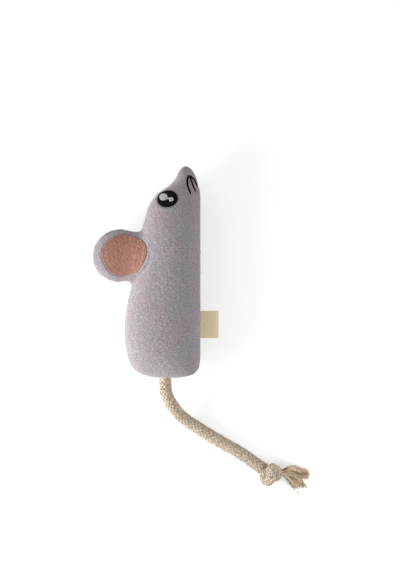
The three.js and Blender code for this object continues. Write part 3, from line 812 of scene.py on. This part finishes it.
def braided(line, outside, strands, lay, gather=None):
    """Interlaced strands round a smooth line, half of them turning each way, and their core.
    gather gives the braid's size along the line as a share."""
    half = strands // 2
    slope = math.tan(math.radians(lay))
    flat = outside * STRAND_THICKNESS_SHARE
    lift = outside * STRAND_LIFT_SHARE
    middle = outside - flat - lift
    spacing = 2 * math.pi * middle / half
    crossing = spacing / slope / 2
    points, reach = evenly(line, crossing / POINTS_PER_CROSSING)
    ahead, side, rise = frames_along(points)
    size = np.ones(len(points))
    if gather is not None:
        size = np.interp(reach / reach[-1], np.linspace(0, 1, len(gather)), gather)
    size = size[:, None]
    wide = spacing * math.cos(math.radians(lay)) / 2 * STRAND_FILL
    forms = []
    for way in (1, -1):
        for strand in range(half):
            angle = (2 * math.pi * strand / half + way * slope * reach / middle)[:, None]
            out = side * np.cos(angle) + rise * np.sin(angle)
            round_way = -side * np.sin(angle) + rise * np.cos(angle)
            height = middle + way * lift * np.cos(math.pi * reach / crossing)[:, None]
            along = unit(ahead + way * slope * round_way)
            forms.append(thread(
                points + out * height * size, reach, size * wide, size * flat,
                unit(np.cross(along, out)), out, which=way * (strand + 1) * STRAND_SHADE))
    core = np.full((len(points), 1), middle) * size
    forms.append(thread(*(values[::POINTS_PER_CROSSING] for values in (
        points, reach, core, core, side, rise)), CORE_SIDES))
    return joined(forms), points


def stray_fibres(points, radius, count):
    """Short hairs that stand a little off a rope."""
    _, side, up = frames_along(points)
    forms = []
    while len(forms) < count:
        index = chance.integers(1, len(points) - 1)
        angle = chance.uniform(0, 2 * math.pi)
        out = side[index] * math.cos(angle) + up[index] * math.sin(angle)
        way = unit(chance.normal(size=3))
        way -= out * (way @ out)
        line = [points[index] + out * radius * HAIR_ROOT]
        for rise, run in zip(HAIR_RISES, HAIR_RUNS):
            line.append(line[-1] + (out * chance.uniform(*rise) + way * run) * HAIR_LENGTH)
        if min(place[2] for place in line) > LOWEST:
            forms.append(round_thread(line, HAIR_LENGTH / 5, HAIR_DIAMETER, 3, chance.uniform(),
                                      HAIR_TAPER))
    return forms


def frayed_fibres():
    """The rope's end combed out: fibres between the two edge lines of each wisp."""
    forms = []
    bundles = np.linspace(BUNDLE_MARGIN, 1 - BUNDLE_MARGIN, BUNDLES_PER_WISP)
    for first, second in WISPS:
        first, second = np.array(first) * MM, np.array(second) * MM
        heights = chance.uniform(-BUNDLE_RISE, BUNDLE_RISE, BUNDLES_PER_WISP)
        shades = chance.permutation(BUNDLE_SHADES)
        for _ in range(FIBRES_PER_WISP):
            bundle = chance.integers(BUNDLES_PER_WISP)
            share = np.clip(bundles[bundle] + chance.normal(0, BUNDLE_WIDTH), 0, 1)
            spread = heights[bundle] + chance.uniform(-FIBRE_RISE, FIBRE_RISE)
            line = first * (1 - share) + second * share
            depth = np.linspace(*WISP_DEPTH, len(line)) * MM
            line[:, 2] += spread * depth * math.sin(
                math.pi * (WISP_ROUND[0] + WISP_ROUND[1] * share))
            waver = chance.normal(0, chance.choice(WAVERS) * MM, line.shape)
            line += waver * np.linspace(WAVER_AT_NECK, 1, len(line))[:, None]
            cut = chance.uniform(SHORTEST_FIBRE, 1) ** LONG_FIBRES
            dense = smooth_values(line, 4)
            dense = dense[:max(4, round(len(dense) * cut))]
            dense[:, 2] = np.maximum(dense[:, 2], LOWEST_FIBRE)
            diameter = FIBRE_DIAMETER * chance.uniform(
                1 - FIBRE_DIAMETER_SPREAD, 1 + FIBRE_DIAMETER_SPREAD)
            forms.append(round_thread(dense, FIBRE_STEP, diameter, 5,
                                      shades[bundle] + chance.uniform(0, FIBRE_SHADES),
                                      FIBRE_TAPER))
    return joined(forms)


# Stuffed body and ear

def body_rings():
    """Rings round the body, a little thinner than stuffed, with its two end points."""
    rows = smooth_values(BODY_ROWS, STEPS_PER_ROW)
    width, length = BODY_WIDTH - 2 * OUTLINE_INSET, BODY_LENGTH - 2 * OUTLINE_INSET
    left = rows[:, [0, 1]] * (width, length)
    right = rows[:, [2, 3]] * (width, length)
    half = rows[:, 4] * (BODY_THICKNESS / 2 - THICKNESS_INSET)
    turns = np.linspace(0, 2 * math.pi, ROW_SIDES, endpoint=False)
    middle, across = (left + right) / 2, (right - left) / 2
    flat = middle[:, None] + across[:, None] * np.cos(turns)[None, :, None]
    height = half[:, None] * np.sin(turns)
    rings = np.concatenate([flat, height[:, :, None]], 2) + np.array(BODY_MIDDLE)
    return rings[1:-1], rings[0, 0], rings[-1, 0]


def ear_rings():
    """Rings round the ear from its tip into the body, with its two end points."""
    rows = smooth_values(EAR_ROWS, STEPS_PER_ROW)
    centre = np.array(EAR_SPREAD_FROM)[[0, 1, 1]]
    rows[:, :3] = centre + (rows[:, :3] - centre) * EAR_SPREAD
    rows *= MM
    turns = np.linspace(0, 2 * math.pi, ROW_SIDES, endpoint=False)
    middle, half = (rows[:, 1] + rows[:, 2]) / 2, (rows[:, 2] - rows[:, 1]) / 2
    rings = np.stack([
        np.repeat(rows[:, 0][:, None], ROW_SIDES, 1),
        middle[:, None] + half[:, None] * np.cos(turns),
        SEAM_HEIGHT + rows[:, 3][:, None] * np.sign(np.sin(turns))
        * np.abs(np.sin(turns)) ** EAR_FLATNESS,
    ], 2)
    return rings[1:-1], rings[0, 0], rings[-1, 0]


def stuffed_form():
    """Body and ear as one closed form, swollen by a cloth simulation and held at the seam."""
    forms = []
    for rings, first, last in (body_rings(), ear_rings()):
        points, faces = skin_over(rings, first, last)
        forms.append((points, faces, np.zeros_like(points)))
    points, faces, _ = joined(forms)
    form = new_piece("stuffed_form", points, faces, velour)
    fused = form.modifiers.new("fused", "REMESH")
    fused.mode = "VOXEL"
    fused.voxel_size = VOXEL
    eased = form.modifiers.new("eased", "SMOOTH")
    eased.factor = 0.5
    eased.iterations = 4
    settle(form)
    stuff(form)
    return form


def stuff(form):
    """Filling pushes the panels out from inside; the seam holds."""
    before = places(form.data)
    held = form.vertex_groups.new(name="seam")
    for index, point in enumerate(before):
        if abs(point[2] - SEAM_HEIGHT) < SEAM_HOLD:
            held.add([index], 1, "REPLACE")
    cloth = form.modifiers.new("stuffing", "CLOTH")
    cloth.settings.quality = 6
    cloth.settings.use_pressure = True
    cloth.settings.uniform_pressure_force = STUFFING_PRESSURE
    cloth.settings.effector_weights.gravity = 0
    cloth.settings.vertex_group_mass = "seam"
    cloth.point_cache.frame_start = 1
    cloth.point_cache.frame_end = STUFFING_FRAMES
    for step in range(1, STUFFING_FRAMES + 1):
        bpy.context.scene.frame_set(step)
    settle(form)
    bpy.context.scene.frame_set(1)
    moved = places(form.data) - before
    far = np.linalg.norm(moved, axis=1, keepdims=True)
    set_places(form.data, before + moved * np.minimum(1, FARTHEST_SWELL / np.maximum(far, 1e-9)))


def oval(width, height, turn):
    """An oval's edge: how far it is from the middle at an angle."""
    return lambda angle: 1 / np.hypot(np.cos(angle - turn) * 2 / width,
                                      np.sin(angle - turn) * 2 / height)


def ear_patch_edge(angle):
    """The ear patch's edge: how far it is from the middle at an angle."""
    turns, reach = zip(*EAR_PATCH_EDGE)
    around = np.arange(-180, 180)
    even = np.interp(around, turns, reach, period=360)
    window = np.hanning(EDGE_EASING)
    side = EDGE_EASING // 2
    eased = np.convolve(np.r_[even[-side:], even, even[:side]], window / window.sum(), "valid")
    return np.interp(np.degrees(angle), around, eased, period=360) * MM


def beyond(place, middle, edge):
    """How far a place is outside an edge round a middle, and below nothing inside."""
    x, y = place[:, 0] - middle.x, place[:, 1] - middle.y
    return np.hypot(x, y) - edge(np.arctan2(y, x))


def off_line(place, line):
    """How far a place is from a broken line."""
    best = np.full(len(place), 1.0)
    for start, end in zip(line, line[1:]):
        way = end - start
        share = np.clip((place[:, :2] - start) @ way / (way @ way), 0, 1)
        best = np.minimum(best, np.linalg.norm(place[:, :2] - start - share[:, None] * way, axis=1))
    return best


def ditch(place):
    """How deep the ditch beside the ear is at a place."""
    deepest = np.zeros(len(place))
    for (*start, shallow), (*end, deep) in zip(DITCH, DITCH[1:]):
        start, end = np.array(start) * MM, np.array(end) * MM
        way = end - start
        share = np.clip((place[:, :2] - start) @ way / (way @ way), 0, 1)
        far = np.linalg.norm(place[:, :2] - start - share[:, None] * way, axis=1)
        depth = (shallow + (deep - shallow) * share) * MM
        deepest = np.maximum(deepest, depth * np.exp(-(far / DITCH_WIDTH) ** 2))
    return deepest


def pressed(place):
    """How far the stitching presses the pile down at a place, from 0 to 1."""
    away = np.minimum(beyond(place, EYE_MIDDLE, oval(EYE_WIDTH, EYE_HEIGHT, EYE_TURN)),
                      beyond(place, EAR_PATCH_MIDDLE, ear_patch_edge))
    for line in whisker_lines:
        away = np.minimum(away, off_line(place, line) - STROKE_WIDTH * STROKE_PRESS)
    return 1 - smoothstep(away / SINK_EDGE + SINK_OFFSET)


def pile_relief(points):
    """How high the pile stands: clumped tufts, and slow soft creases."""
    heights = np.zeros(len(points))
    for index, point in enumerate(points):
        at = Vector(point)
        clump = noise.noise(at / CLUMP)
        clump += HALF_CLUMP_SHARE * noise.noise(at * 2 / CLUMP + UP * 9)
        slow = noise.noise(at / CREASE_SPAN + UP * 4)
        heights[index] = CLUMP_HEIGHT * clump + CREASE_HEIGHT * slow
    return heights


def puff(across, along):
    """How thick a filled bag is, from 0 to 1, at shares of its half width and half length."""
    return (np.clip(1 - across ** PUFF_SQUARE, 0, 1)
            * np.clip(1 - along ** PUFF_SQUARE, 0, 1)) ** PUFF_ROUND


def copied(piece, name):
    """A piece with its own copy of another's mesh."""
    made = bpy.data.objects.new(name, piece.data.copy())
    made.data.name = name
    bpy.context.scene.collection.objects.link(made)
    return made


def filling_inside(form):
    """The stuffing: the form drawn in, with lumps where tufts of fibre lie and a pocket at the
    back for the sachet."""
    filling = copied(form, "polyester_filling")
    points, out = places(filling.data), places(filling.data, "vector", "vertex_normals")
    lumps = np.array([noise.noise(Vector(point) / LUMP) for point in points])
    pocket = puff((points[:, 0] - SACHET_MIDDLE.x) * 2 / SACHET_WIDTH,
                  (points[:, 1] - SACHET_MIDDLE.y) * 2 / SACHET_LENGTH)
    pocket = (SACHET_THICKNESS + SACHET_EDGE) * pocket * (out[:, 2] < BACK_FACING)
    inset = FILLING_INSET + ditch(points) - LUMP_HEIGHT * lumps + pocket
    set_places(filling.data, points - out * inset[:, None])
    return filling


def covered(form):
    """The form with its pile, the stitching pressed in and the seam turned in."""
    mesh = form.data
    points, out = places(mesh), places(mesh, "vector", "vertex_normals")
    sunk = pressed(points)
    tucked = np.exp(-((points[:, 2] - SEAM_HEIGHT) / SEAM_REACH) ** 2)
    lift = pile_relief(points) * (1 - sunk) * (1 - tucked) - ditch(points) * (1 - tucked)
    lift -= SINK * sunk + SEAM_DEPTH * tucked
    moved = points + out * lift[:, None]
    moved[:, 2] = np.maximum(moved[:, 2], LOWEST)
    set_places(mesh, moved)


def plush_panel(form, name, way):
    """One panel: the front or back of the covered form, with the cloth's thickness."""
    panel = copied(form, name)
    work = bmesh.new()
    work.from_mesh(panel.data)
    cut = Vector((0, 0, SEAM_HEIGHT + way * SEAM_GAP / 2))
    bmesh.ops.bisect_plane(
        work, geom=[*work.verts, *work.edges, *work.faces], plane_co=cut, plane_no=UP * way,
        clear_inner=True, use_snap_center=True, dist=SEAM_GAP / 4)
    bmesh.ops.remove_doubles(work, verts=work.verts, dist=SEAM_GAP)
    work.to_mesh(panel.data)
    work.free()
    shell = panel.modifiers.new("cloth", "SOLIDIFY")
    shell.thickness = PANEL_THICKNESS
    shell.offset = -1
    settle(panel)
    return panel


# Embroidery and label, laid on the plush

def surface_at(x, y, way):
    """The plush's own surface, without its pile, straight above or below each place."""
    spots, outs = [], []
    for across, along in zip(np.ravel(x), np.ravel(y)):
        start = Vector((across, along, SEAM_HEIGHT + way * BODY_THICKNESS))
        spot, normal, _, _ = plush_tree.ray_cast(start, UP * -way)
        if spot is None:
            spot, normal, _, _ = plush_tree.find_nearest(Vector((across, along, SEAM_HEIGHT)))
        spots.append(spot)
        outs.append(normal)
    return [np.array(made).reshape(*np.shape(x), 3) for made in (spots, outs)]


def two_skins(rows, columns, ring=False):
    """The faces of a closed slab, whose points are one skin's, row by row, then the other's."""
    layer = rows * columns
    faces = []
    for row in range(rows if ring else rows - 1):
        here, there = row * columns, (row + 1) % rows * columns
        for column in range(columns - 1):
            quad = (here + column, here + column + 1, there + column + 1, there + column)
            faces += [quad, tuple(index + layer for index in quad[::-1])]
        for end in (0, columns - 1):
            faces.append((here + end, there + end, there + end + layer, here + end + layer))
    if not ring:
        for end in (0, (rows - 1) * columns):
            for here in range(end, end + columns - 1):
                faces.append((here, here + 1, here + 1 + layer, here + layer))
    return faces


def laid(middle, edge, share, angle, way, relief, grain_at, ring=False):
    """A closed slab of stitches on the plush. Each point is a share of the way to the edge at
    an angle. relief and grain_at take that share, the place from the middle and the angle."""
    reach = edge(angle) * share
    place = reach * np.cos(angle), reach * np.sin(angle)
    spots, outs = surface_at(middle.x + place[0], middle.y + place[1], way)
    top = spots + outs * (relief(share, place, angle) - SINK)[..., None]
    bottom = spots - outs * SINK * SLAB_ROOT
    points = np.vstack([top.reshape(-1, 3), bottom.reshape(-1, 3)])
    grain = np.stack(grain_at(share, place, angle), -1).reshape(-1, 3)
    return points, two_skins(*share.shape, ring), np.vstack([grain, grain])


def pad(middle, edge, way, relief, grain_at):
    """A pad of stitches that fills an edge, on a square grid eased into a disc."""
    ticks = np.linspace(-1, 1, max(8, round(2 * edge(0) / STITCH_STEP)))
    u, v = np.meshgrid(ticks, ticks)
    across, along = u * np.sqrt(1 - v * v / 2), v * np.sqrt(1 - u * u / 2)
    return laid(middle, edge, np.hypot(across, along), np.arctan2(along, across), way, relief,
                grain_at)


def band(middle, edge, width, way, relief, grain_at):
    """A band of stitches along the inside of an edge."""
    angle = np.linspace(0, 2 * math.pi, round(2 * math.pi * edge(0) / STITCH_STEP), endpoint=False)
    over = np.linspace(1, 0, BAND_POINTS)
    share = 1 - over[None, :] * (width / edge(angle))[:, None]
    return laid(middle, edge, share, np.repeat(angle[:, None], len(over), 1), way, relief,
                grain_at, ring=True)


def along_and_across(place, turn):
    """A place measured along parallel threads and across them."""
    return (place[0] * math.cos(turn) + place[1] * math.sin(turn),
            place[1] * math.cos(turn) - place[0] * math.sin(turn))


def ridge(across, spacing):
    """The round backs of parallel threads: 0 between two and 1 on top of one."""
    return np.sqrt(1 - ((across / spacing) % 1 * 2 - 1) ** 2)


def filled(edge, turn, thickness, spacing, height, stitch=0.0):
    """The relief of parallel threads, with the needle's dips a stitch apart where given, and
    a rounded edge."""
    def relief(share, place, angle):
        along, across = along_and_across(place, turn)
        back = ridge(across, spacing)
        if stitch:
            row = np.floor(across / spacing)
            off_needle = (along / stitch + row * ROW_SHIFT) % 1 - 0.5
            back *= 1 - DIP * np.exp(-off_needle ** 2 * DIP_SHARPNESS)
        inside = np.clip((1 - share) * edge(angle) / EDGE_ROUND, 0, 1)
        return (thickness + height * back) * np.sqrt(1 - (1 - inside) ** 2)
    return relief


def parallel(turn, way):
    """The grain of parallel threads."""
    return lambda share, place, angle: (
        *along_and_across(place, turn), np.full(np.shape(share), way))


def rim(edge, width, thickness, spacing, height):
    """The relief of a narrow band of short stitches across an edge."""
    def relief(share, place, angle):
        over = 1 - 2 * np.clip((1 - share) * edge(angle) / width, 0, 1)
        back = thickness + height * ridge(angle * edge(0), spacing)
        return back * np.sqrt(np.clip(1 - over ** BORDER_SQUARE, 0, 1))
    return relief


def radial(size, way):
    """The grain of stitches that run out from a middle."""
    return lambda share, place, angle: (
        share * size, angle * size, np.full(np.shape(share), way))


def stroke(line, width, thickness, way):
    """A line of satin stitches on the plush: a low rounded cord with pointed ends."""
    line, _ = evenly(np.column_stack([line, np.zeros(len(line))]), STITCH_STEP / 2)
    shares = np.linspace(0, 1, len(line))
    spots, outs = surface_at(line[:, 0], line[:, 1], way)
    ahead = unit(np.gradient(spots, axis=0))
    tips = np.minimum(shares, 1 - shares) * STROKE_TIP
    taper = np.sqrt(np.clip(tips, STROKE_END, 1))[:, None]
    reach = np.r_[0, np.cumsum(np.linalg.norm(np.diff(spots, axis=0), axis=1))]
    stitches = ridge(reach, STROKE_STITCH)[:, None]
    wide = width / 2 * taper * (1 - STROKE_WAIST + STROKE_WAIST * stitches)
    thick = thickness * taper * (1 - STROKE_DIP + STROKE_DIP * stitches)
    points, faces, grain = thread(
        spots - outs * SINK * STROKE_ROOT, reach, wide, thick, unit(np.cross(outs, ahead)), outs,
        sides=10, which=way)
    return points, faces, grain[:, [1, 0, 2]]


def folded_ribbon():
    """The label: a ribbon that comes out of the seam, folds round and goes back in. Its two
    layers part a little towards the fold."""
    reach = LABEL_REACH - FOLD_RADIUS - RIBBON_THICKNESS / 2
    run = np.arange(-LABEL_ROOT, reach, LABEL_STEP)
    gap = FOLD_OPENING / 2 + RIBBON_THICKNESS / 2
    gap = gap + (FOLD_RADIUS - gap) * smoothstep(run / reach)
    turns = np.linspace(-math.pi / 2, math.pi / 2, FOLD_POINTS)
    line = np.vstack([
        np.stack([run, -gap], 1),
        np.stack([reach + FOLD_RADIUS * np.cos(turns), FOLD_RADIUS * np.sin(turns)], 1),
        np.stack([run, gap], 1)[::-1]])
    line[:, 1] -= LABEL_DROOP * np.maximum(line[:, 0] / reach, 0) ** 2
    along = np.r_[0, np.cumsum(np.linalg.norm(np.diff(line, axis=0), axis=1))]
    way = unit(np.gradient(line, axis=0))
    out = np.stack([way[:, 1], -way[:, 0]], 1)
    across = np.linspace(-LABEL_HEIGHT / 2, LABEL_HEIGHT / 2, round(LABEL_HEIGHT / LABEL_STEP))
    edges = (np.abs(across) / (LABEL_HEIGHT / 2) - SELVEDGE_FROM) / SELVEDGE_EASE
    selvedge = 1 + SELVEDGE * smoothstep(edges)
    points, grain = [], []
    for skin in (1, -1):
        for index, (x, z) in enumerate(line):
            free = smoothstep(x / reach)
            for place, edge in zip(across, selvedge):
                wave = LABEL_WAVE * math.sin(
                    place / LABEL_HEIGHT * LABEL_WAVE_TURN + LABEL_WAVE_START) * free
                thick = skin * RIBBON_THICKNESS / 2 * edge
                points.append(LABEL_PIVOT + Vector((
                    x + out[index, 0] * thick, place, z + wave + out[index, 1] * thick)))
                grain.append((along[index], place, skin))
    return points, two_skins(len(line), len(across)), grain, float(along[-1])


def crinkled_film():
    """A thin film with sharp folds, close under the front panel."""
    x, y = np.meshgrid(
        FILM_MIDDLE.x + np.linspace(-FILM_WIDTH / 2, FILM_WIDTH / 2, round(FILM_WIDTH / FILM_STEP)),
        FILM_MIDDLE.y + np.linspace(
            -FILM_LENGTH / 2, FILM_LENGTH / 2, round(FILM_LENGTH / FILM_STEP)))
    spots, outs = surface_at(x, y, 1)
    folds = np.array([abs(noise.noise(Vector((across, along, 0)) / CRINKLE))
                      for across, along in zip(x.ravel(), y.ravel())]).reshape(*x.shape, 1)
    top = spots - outs * (FILM_DEPTH - CRINKLE_HEIGHT * (folds * CRINKLE_STRENGTH - 0.5))
    points = np.vstack([top.reshape(-1, 3), (top - outs * FILM_THICKNESS).reshape(-1, 3)])
    return points, two_skins(*x.shape)


def sachet_bag():
    """A small filled bag with a flat sewn edge, close under the back panel."""
    across, along = np.meshgrid(np.linspace(-1, 1, round(SACHET_WIDTH / FILM_STEP)),
                                np.linspace(-1, 1, round(SACHET_LENGTH / FILM_STEP)))
    spots, outs = surface_at(SACHET_MIDDLE.x + across * SACHET_WIDTH / 2,
                             SACHET_MIDDLE.y + along * SACHET_LENGTH / 2, -1)
    outer = spots - outs * SACHET_DEPTH
    full = puff(across / SACHET_FILLED[0], along / SACHET_FILLED[1])
    thick = SACHET_EDGE + (SACHET_THICKNESS - SACHET_EDGE) * full
    points = np.vstack([outer.reshape(-1, 3), (outer - outs * thick[..., None]).reshape(-1, 3)])
    return points, two_skins(*across.shape)


def seam_loop(form):
    """The form's outline at the height of the seam, as a closed line of points."""
    work = bmesh.new()
    work.from_mesh(form.data)
    made = bmesh.ops.bisect_plane(
        work, geom=[*work.verts, *work.edges, *work.faces], plane_no=UP,
        plane_co=Vector((0, 0, SEAM_HEIGHT + SEAM_LINE_OFFSET)))
    joins = {}
    for edge in made["geom_cut"]:
        if isinstance(edge, bmesh.types.BMEdge):
            first, second = edge.verts
            joins.setdefault(first, []).append(second)
            joins.setdefault(second, []).append(first)
    start = min(joins, key=lambda vertex: (vertex.co.y, vertex.co.x))
    before, vertex, line = None, start, []
    while vertex is not None and (vertex is not start or not line):
        line.append(vertex.co.copy())
        onward = [other for other in joins[vertex] if other is not before]
        before, vertex = vertex, onward[0] if onward else None
    work.free()
    return np.array([*line, line[0]])


def closed(piece):
    """Turns all faces of a closed mesh outwards."""
    work = bmesh.new()
    work.from_mesh(piece.data)
    bmesh.ops.recalc_face_normals(work, faces=work.faces)
    work.to_mesh(piece.data)
    work.free()
    return piece


# Making

set_camera()
set_floor()
set_light()

velour = velour_plush()
# Near black, with thin painted soft highlights along its threads
black_thread = stitched_thread(
    "black_satin_thread", [(0.3, "#030204"), (0.5, "#060407"), (0.7, "#100d11")],
    spacing=0.8 * MM, length=4 * MM, gloss=0.06, sheen=0)
# White that the shade between its threads turns to a pale grey
white_thread = stitched_thread(
    "white_satin_thread", [(0.3, "#909094"), (0.5, "#a6a6a9"), (0.7, "#bbbbbe")],
    spacing=0.8 * MM, length=4 * MM, gloss=0.4, sheen=0.1)
# Muted rose in long rows, painted paler where a thread lies on top, as painted light
ear_thread = stitched_thread(
    "ear_filling_thread", [(0.34, "#845a4f"), (0.5, "#9b6c5f"), (0.66, "#b48679")],
    spacing=0.6 * MM, length=3 * MM, gloss=0.3, sheen=0.15)
# The same rose in short close stitches across the edge, painted a little brighter as painted sheen
# of the smoother satin
ear_edge_thread = stitched_thread(
    "ear_edge_satin_thread", [(0.3, "#875d4e"), (0.5, "#a07263"), (0.7, "#b48b7d")],
    spacing=0.8 * MM, length=4 * MM, gloss=0.3, sheen=0.15)
# Cream cotton with some jute: each strand a little different, and brown in the gaps
rope_yarn = plaited_fibre(
    "braided_cotton_and_jute_yarn",
    [(0.34, "#8f7b64"), (0.45, "#c3b199"), (0.56, "#dfd2bf"), (0.66, "#f2eade")],
    fleck="#6d5943", fleck_length=1.4 * MM, roughness=0.85)
# Jute without its twist: long dark and pale streaks along the fibres
frayed_yarn = plaited_fibre(
    "combed_out_jute_fibre",
    [(0.38, "#593b1f"), (0.44, "#a77e4d"), (0.49, "#e0c496"), (0.55, "#fff8e9")],
    fleck="#5f4225", fleck_length=8 * MM, roughness=0.7)
ribbon = woven_ribbon()
# Grey thread with a dull twist, mostly hidden in the groove
sewing_thread = inner_material(
    "spun_polyester_sewing_thread", "#7d757d", "#978f97", 0.6 * MM, roughness=0.8, bump=0.5)
# Loose white fibre: matt, in soft lumps
filling_fibre = inner_material(
    "polyester_fibre_filling", "#dcd9d0", "#f6f4ef", 3 * MM, roughness=1, bump=0.8)
# Pale film with sharp glints on its creases
crinkle_plastic = inner_material(
    "crinkled_polyethylene_film", "#cfd5d7", "#e6eaeb", 4 * MM, roughness=0.25, bump=0.5)
# Unbleached pressed cloth: dull cream, slightly fluffy
pouch_cloth = inner_material(
    "unbleached_nonwoven_cloth", "#cfc5ad", "#e3dac4", 1.2 * MM, roughness=0.9, bump=0.4)

# Rope, knot and frayed end
route = [tuple(TAIL_PIVOT / MM + Vector(offset)) for offset in ROPE_ROUTE]
# The rope starts inside the body, straight behind its mouth
inner = [tuple(TAIL_PIVOT / MM + Vector((0, (MOUTH_TO_PIVOT + depth) / MM, 0)))
         for depth in (ROPE_INNER_LENGTH, ROPE_INNER_LENGTH / 2)]
rope_line = np.array(inner + route) * MM
rope_form, rope_middle = braided(rope_line, ROPE_DIAMETER / 2, ROPE_STRANDS, BRAID_LAY)
rope = new_piece("rope_tail", *rope_form[:2], rope_yarn, rope_form[2])
knot_line = np.array(KNOT_LINE) * MM + np.array(KNOT_MIDDLE)
knot_form, knot_middle = braided(
    knot_line, KNOT_ROPE_DIAMETER / 2, KNOT_STRANDS, BRAID_LAY, KNOT_GATHER)
knot = new_piece("rope_knot", *knot_form[:2], rope_yarn, knot_form[2])
fray_form = frayed_fibres()
frayed_end = new_piece("rope_frayed_end", *fray_form[:2], frayed_yarn, fray_form[2])
# Hairs stand only where the rope is outside the body
bare = rope_middle[rope_middle[:, 1] < BODY_MIDDLE.y - BODY_LENGTH / 2 - ROPE_DIAMETER / 4]
hair_form = joined([
    *stray_fibres(bare, ROPE_DIAMETER / 2, HAIRS_ON_ROPE),
    *stray_fibres(knot_middle, KNOT_ROPE_DIAMETER / 2, HAIRS_ON_KNOT),
    round_thread(np.array(LOOSE_THREAD) * MM, 1 * MM, LOOSE_THREAD_DIAMETER, 6)])
hairs = new_piece("rope_stray_fibres", *hair_form[:2], rope_yarn, hair_form[2])

for piece, slot in ((rope, "rope"), (knot, "rope"), (frayed_end, "frayed_rope"), (hairs, "rope")):
    closed(piece)
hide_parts("tail_rope", "tail_inner_end")
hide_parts("tail_knot")
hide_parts("tail_tassel")
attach(knot, "tail")
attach(frayed_end, "tail")
for piece in (rope, hairs):
    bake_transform(piece)

# Plush panels
whisker_lines = [
    evenly([(x, y, 0) for x, y in line], WHISKER_STEP)[0][:, :2] * MM for line in WHISKERS]
form = stuffed_form()
filling = filling_inside(form)
finer = form.modifiers.new("finer", "SUBSURF")
finer.levels = 2
settle(form)
plush_tree = BVHTree.FromObject(form, bpy.context.evaluated_depsgraph_get())
covered(form)
seam_middle, seam_reach = evenly(seam_loop(form), SEAM_THREAD_STEP)
front = plush_panel(form, "front_plush_panel", 1)
back = plush_panel(form, "back_plush_panel", -1)
bpy.data.objects.remove(form)
filling.data.materials.clear()
filling.data.materials.append(filling_fibre)
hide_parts("front_panel", "ear_front_panel")
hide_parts("back_panel", "ear_back_panel")
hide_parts("body_stuffing", "ear_wadding")
bending = [front, back, filling]

# Seam thread, which lies at the bottom of the groove
ahead = unit(np.gradient(seam_middle, axis=0))
side = unit(np.cross(ahead, UP))
radius = np.full((len(seam_middle), 1), SEAM_THREAD_DIAMETER / 2)
seam_form = thread(
    seam_middle, seam_reach, radius, radius, side, np.cross(ahead, side), sides=8)
seam_thread = new_piece("seam_thread", *seam_form[:2], sewing_thread, seam_form[2])
closed(seam_thread)
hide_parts("body_seam_thread", "ear_seam_thread")
bending.append(seam_thread)

# Embroidery on both faces
eye_edge = oval(EYE_WIDTH, EYE_HEIGHT, EYE_TURN)
upright = EYE_TURN + math.pi / 2
for face, way in (("front", 1), ("back", -1)):
    eye = pad(EYE_MIDDLE, eye_edge, way, filled(eye_edge, upright, *EYE_RELIEF),
              parallel(upright, way))
    spots = []
    for across, along, wide, tall in HIGHLIGHTS:
        offset = Vector((across * EYE_WIDTH, along * EYE_HEIGHT))
        offset.rotate(Matrix.Rotation(EYE_TURN, 2))
        edge = oval(wide * EYE_WIDTH, tall * EYE_HEIGHT, EYE_TURN)
        spots.append(pad(EYE_MIDDLE + offset, edge, way,
                         filled(edge, upright, *HIGHLIGHT_RELIEF), parallel(upright, way)))
    whiskers = [stroke(line, STROKE_WIDTH, STROKE_THICKNESS, way) for line in whisker_lines]
    patch = pad(EAR_PATCH_MIDDLE,
                lambda angle: ear_patch_edge(angle) - EAR_PATCH_BORDER * BORDER_OVERLAP, way,
                filled(ear_patch_edge, FILL_TURN, *PATCH_RELIEF, stitch=STITCH_LENGTH),
                parallel(FILL_TURN, way))
    patch_edge = band(EAR_PATCH_MIDDLE, ear_patch_edge, EAR_PATCH_BORDER, way,
                      rim(ear_patch_edge, EAR_PATCH_BORDER, *BORDER_RELIEF),
                      radial(EAR_PATCH_SIZE, way))
    for name, made, material, slot, node in (
            ("eye", eye, black_thread, "black_thread", "eye"),
            ("eye_highlights", joined(spots), white_thread, "white_thread", "eye_highlights"),
            ("whiskers", joined(whiskers), black_thread, "black_thread", "whiskers"),
            ("ear_patch", patch, ear_thread, "ear_thread", "ear_patch"),
            ("ear_patch_edge", patch_edge, ear_edge_thread, "ear_border_thread",
             "ear_patch_border")):
        piece = closed(new_piece(f"{name}_embroidery_{face}", made[0], made[1], material, made[2]))
        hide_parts(f"{node}_{face}")
        if name.startswith("ear"):
            bending.append(piece)
        else:
            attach(piece, "body")

for piece in bending:
    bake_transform(piece)

# Label
label_form = folded_ribbon()
label = closed(new_piece("side_ribbon_label", *label_form[:2], ribbon, label_form[2]))
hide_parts("side_label")
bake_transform(label)

# Crinkle film and sachet
film = closed(new_piece("crinkle_film_sheet", *crinkled_film(), crinkle_plastic))
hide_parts("crinkle_film")
sachet = closed(new_piece("silver_vine_sachet_bag", *sachet_bag(), pouch_cloth))
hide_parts("silver_vine_sachet")
for piece in (film, sachet):
    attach(piece, "body")
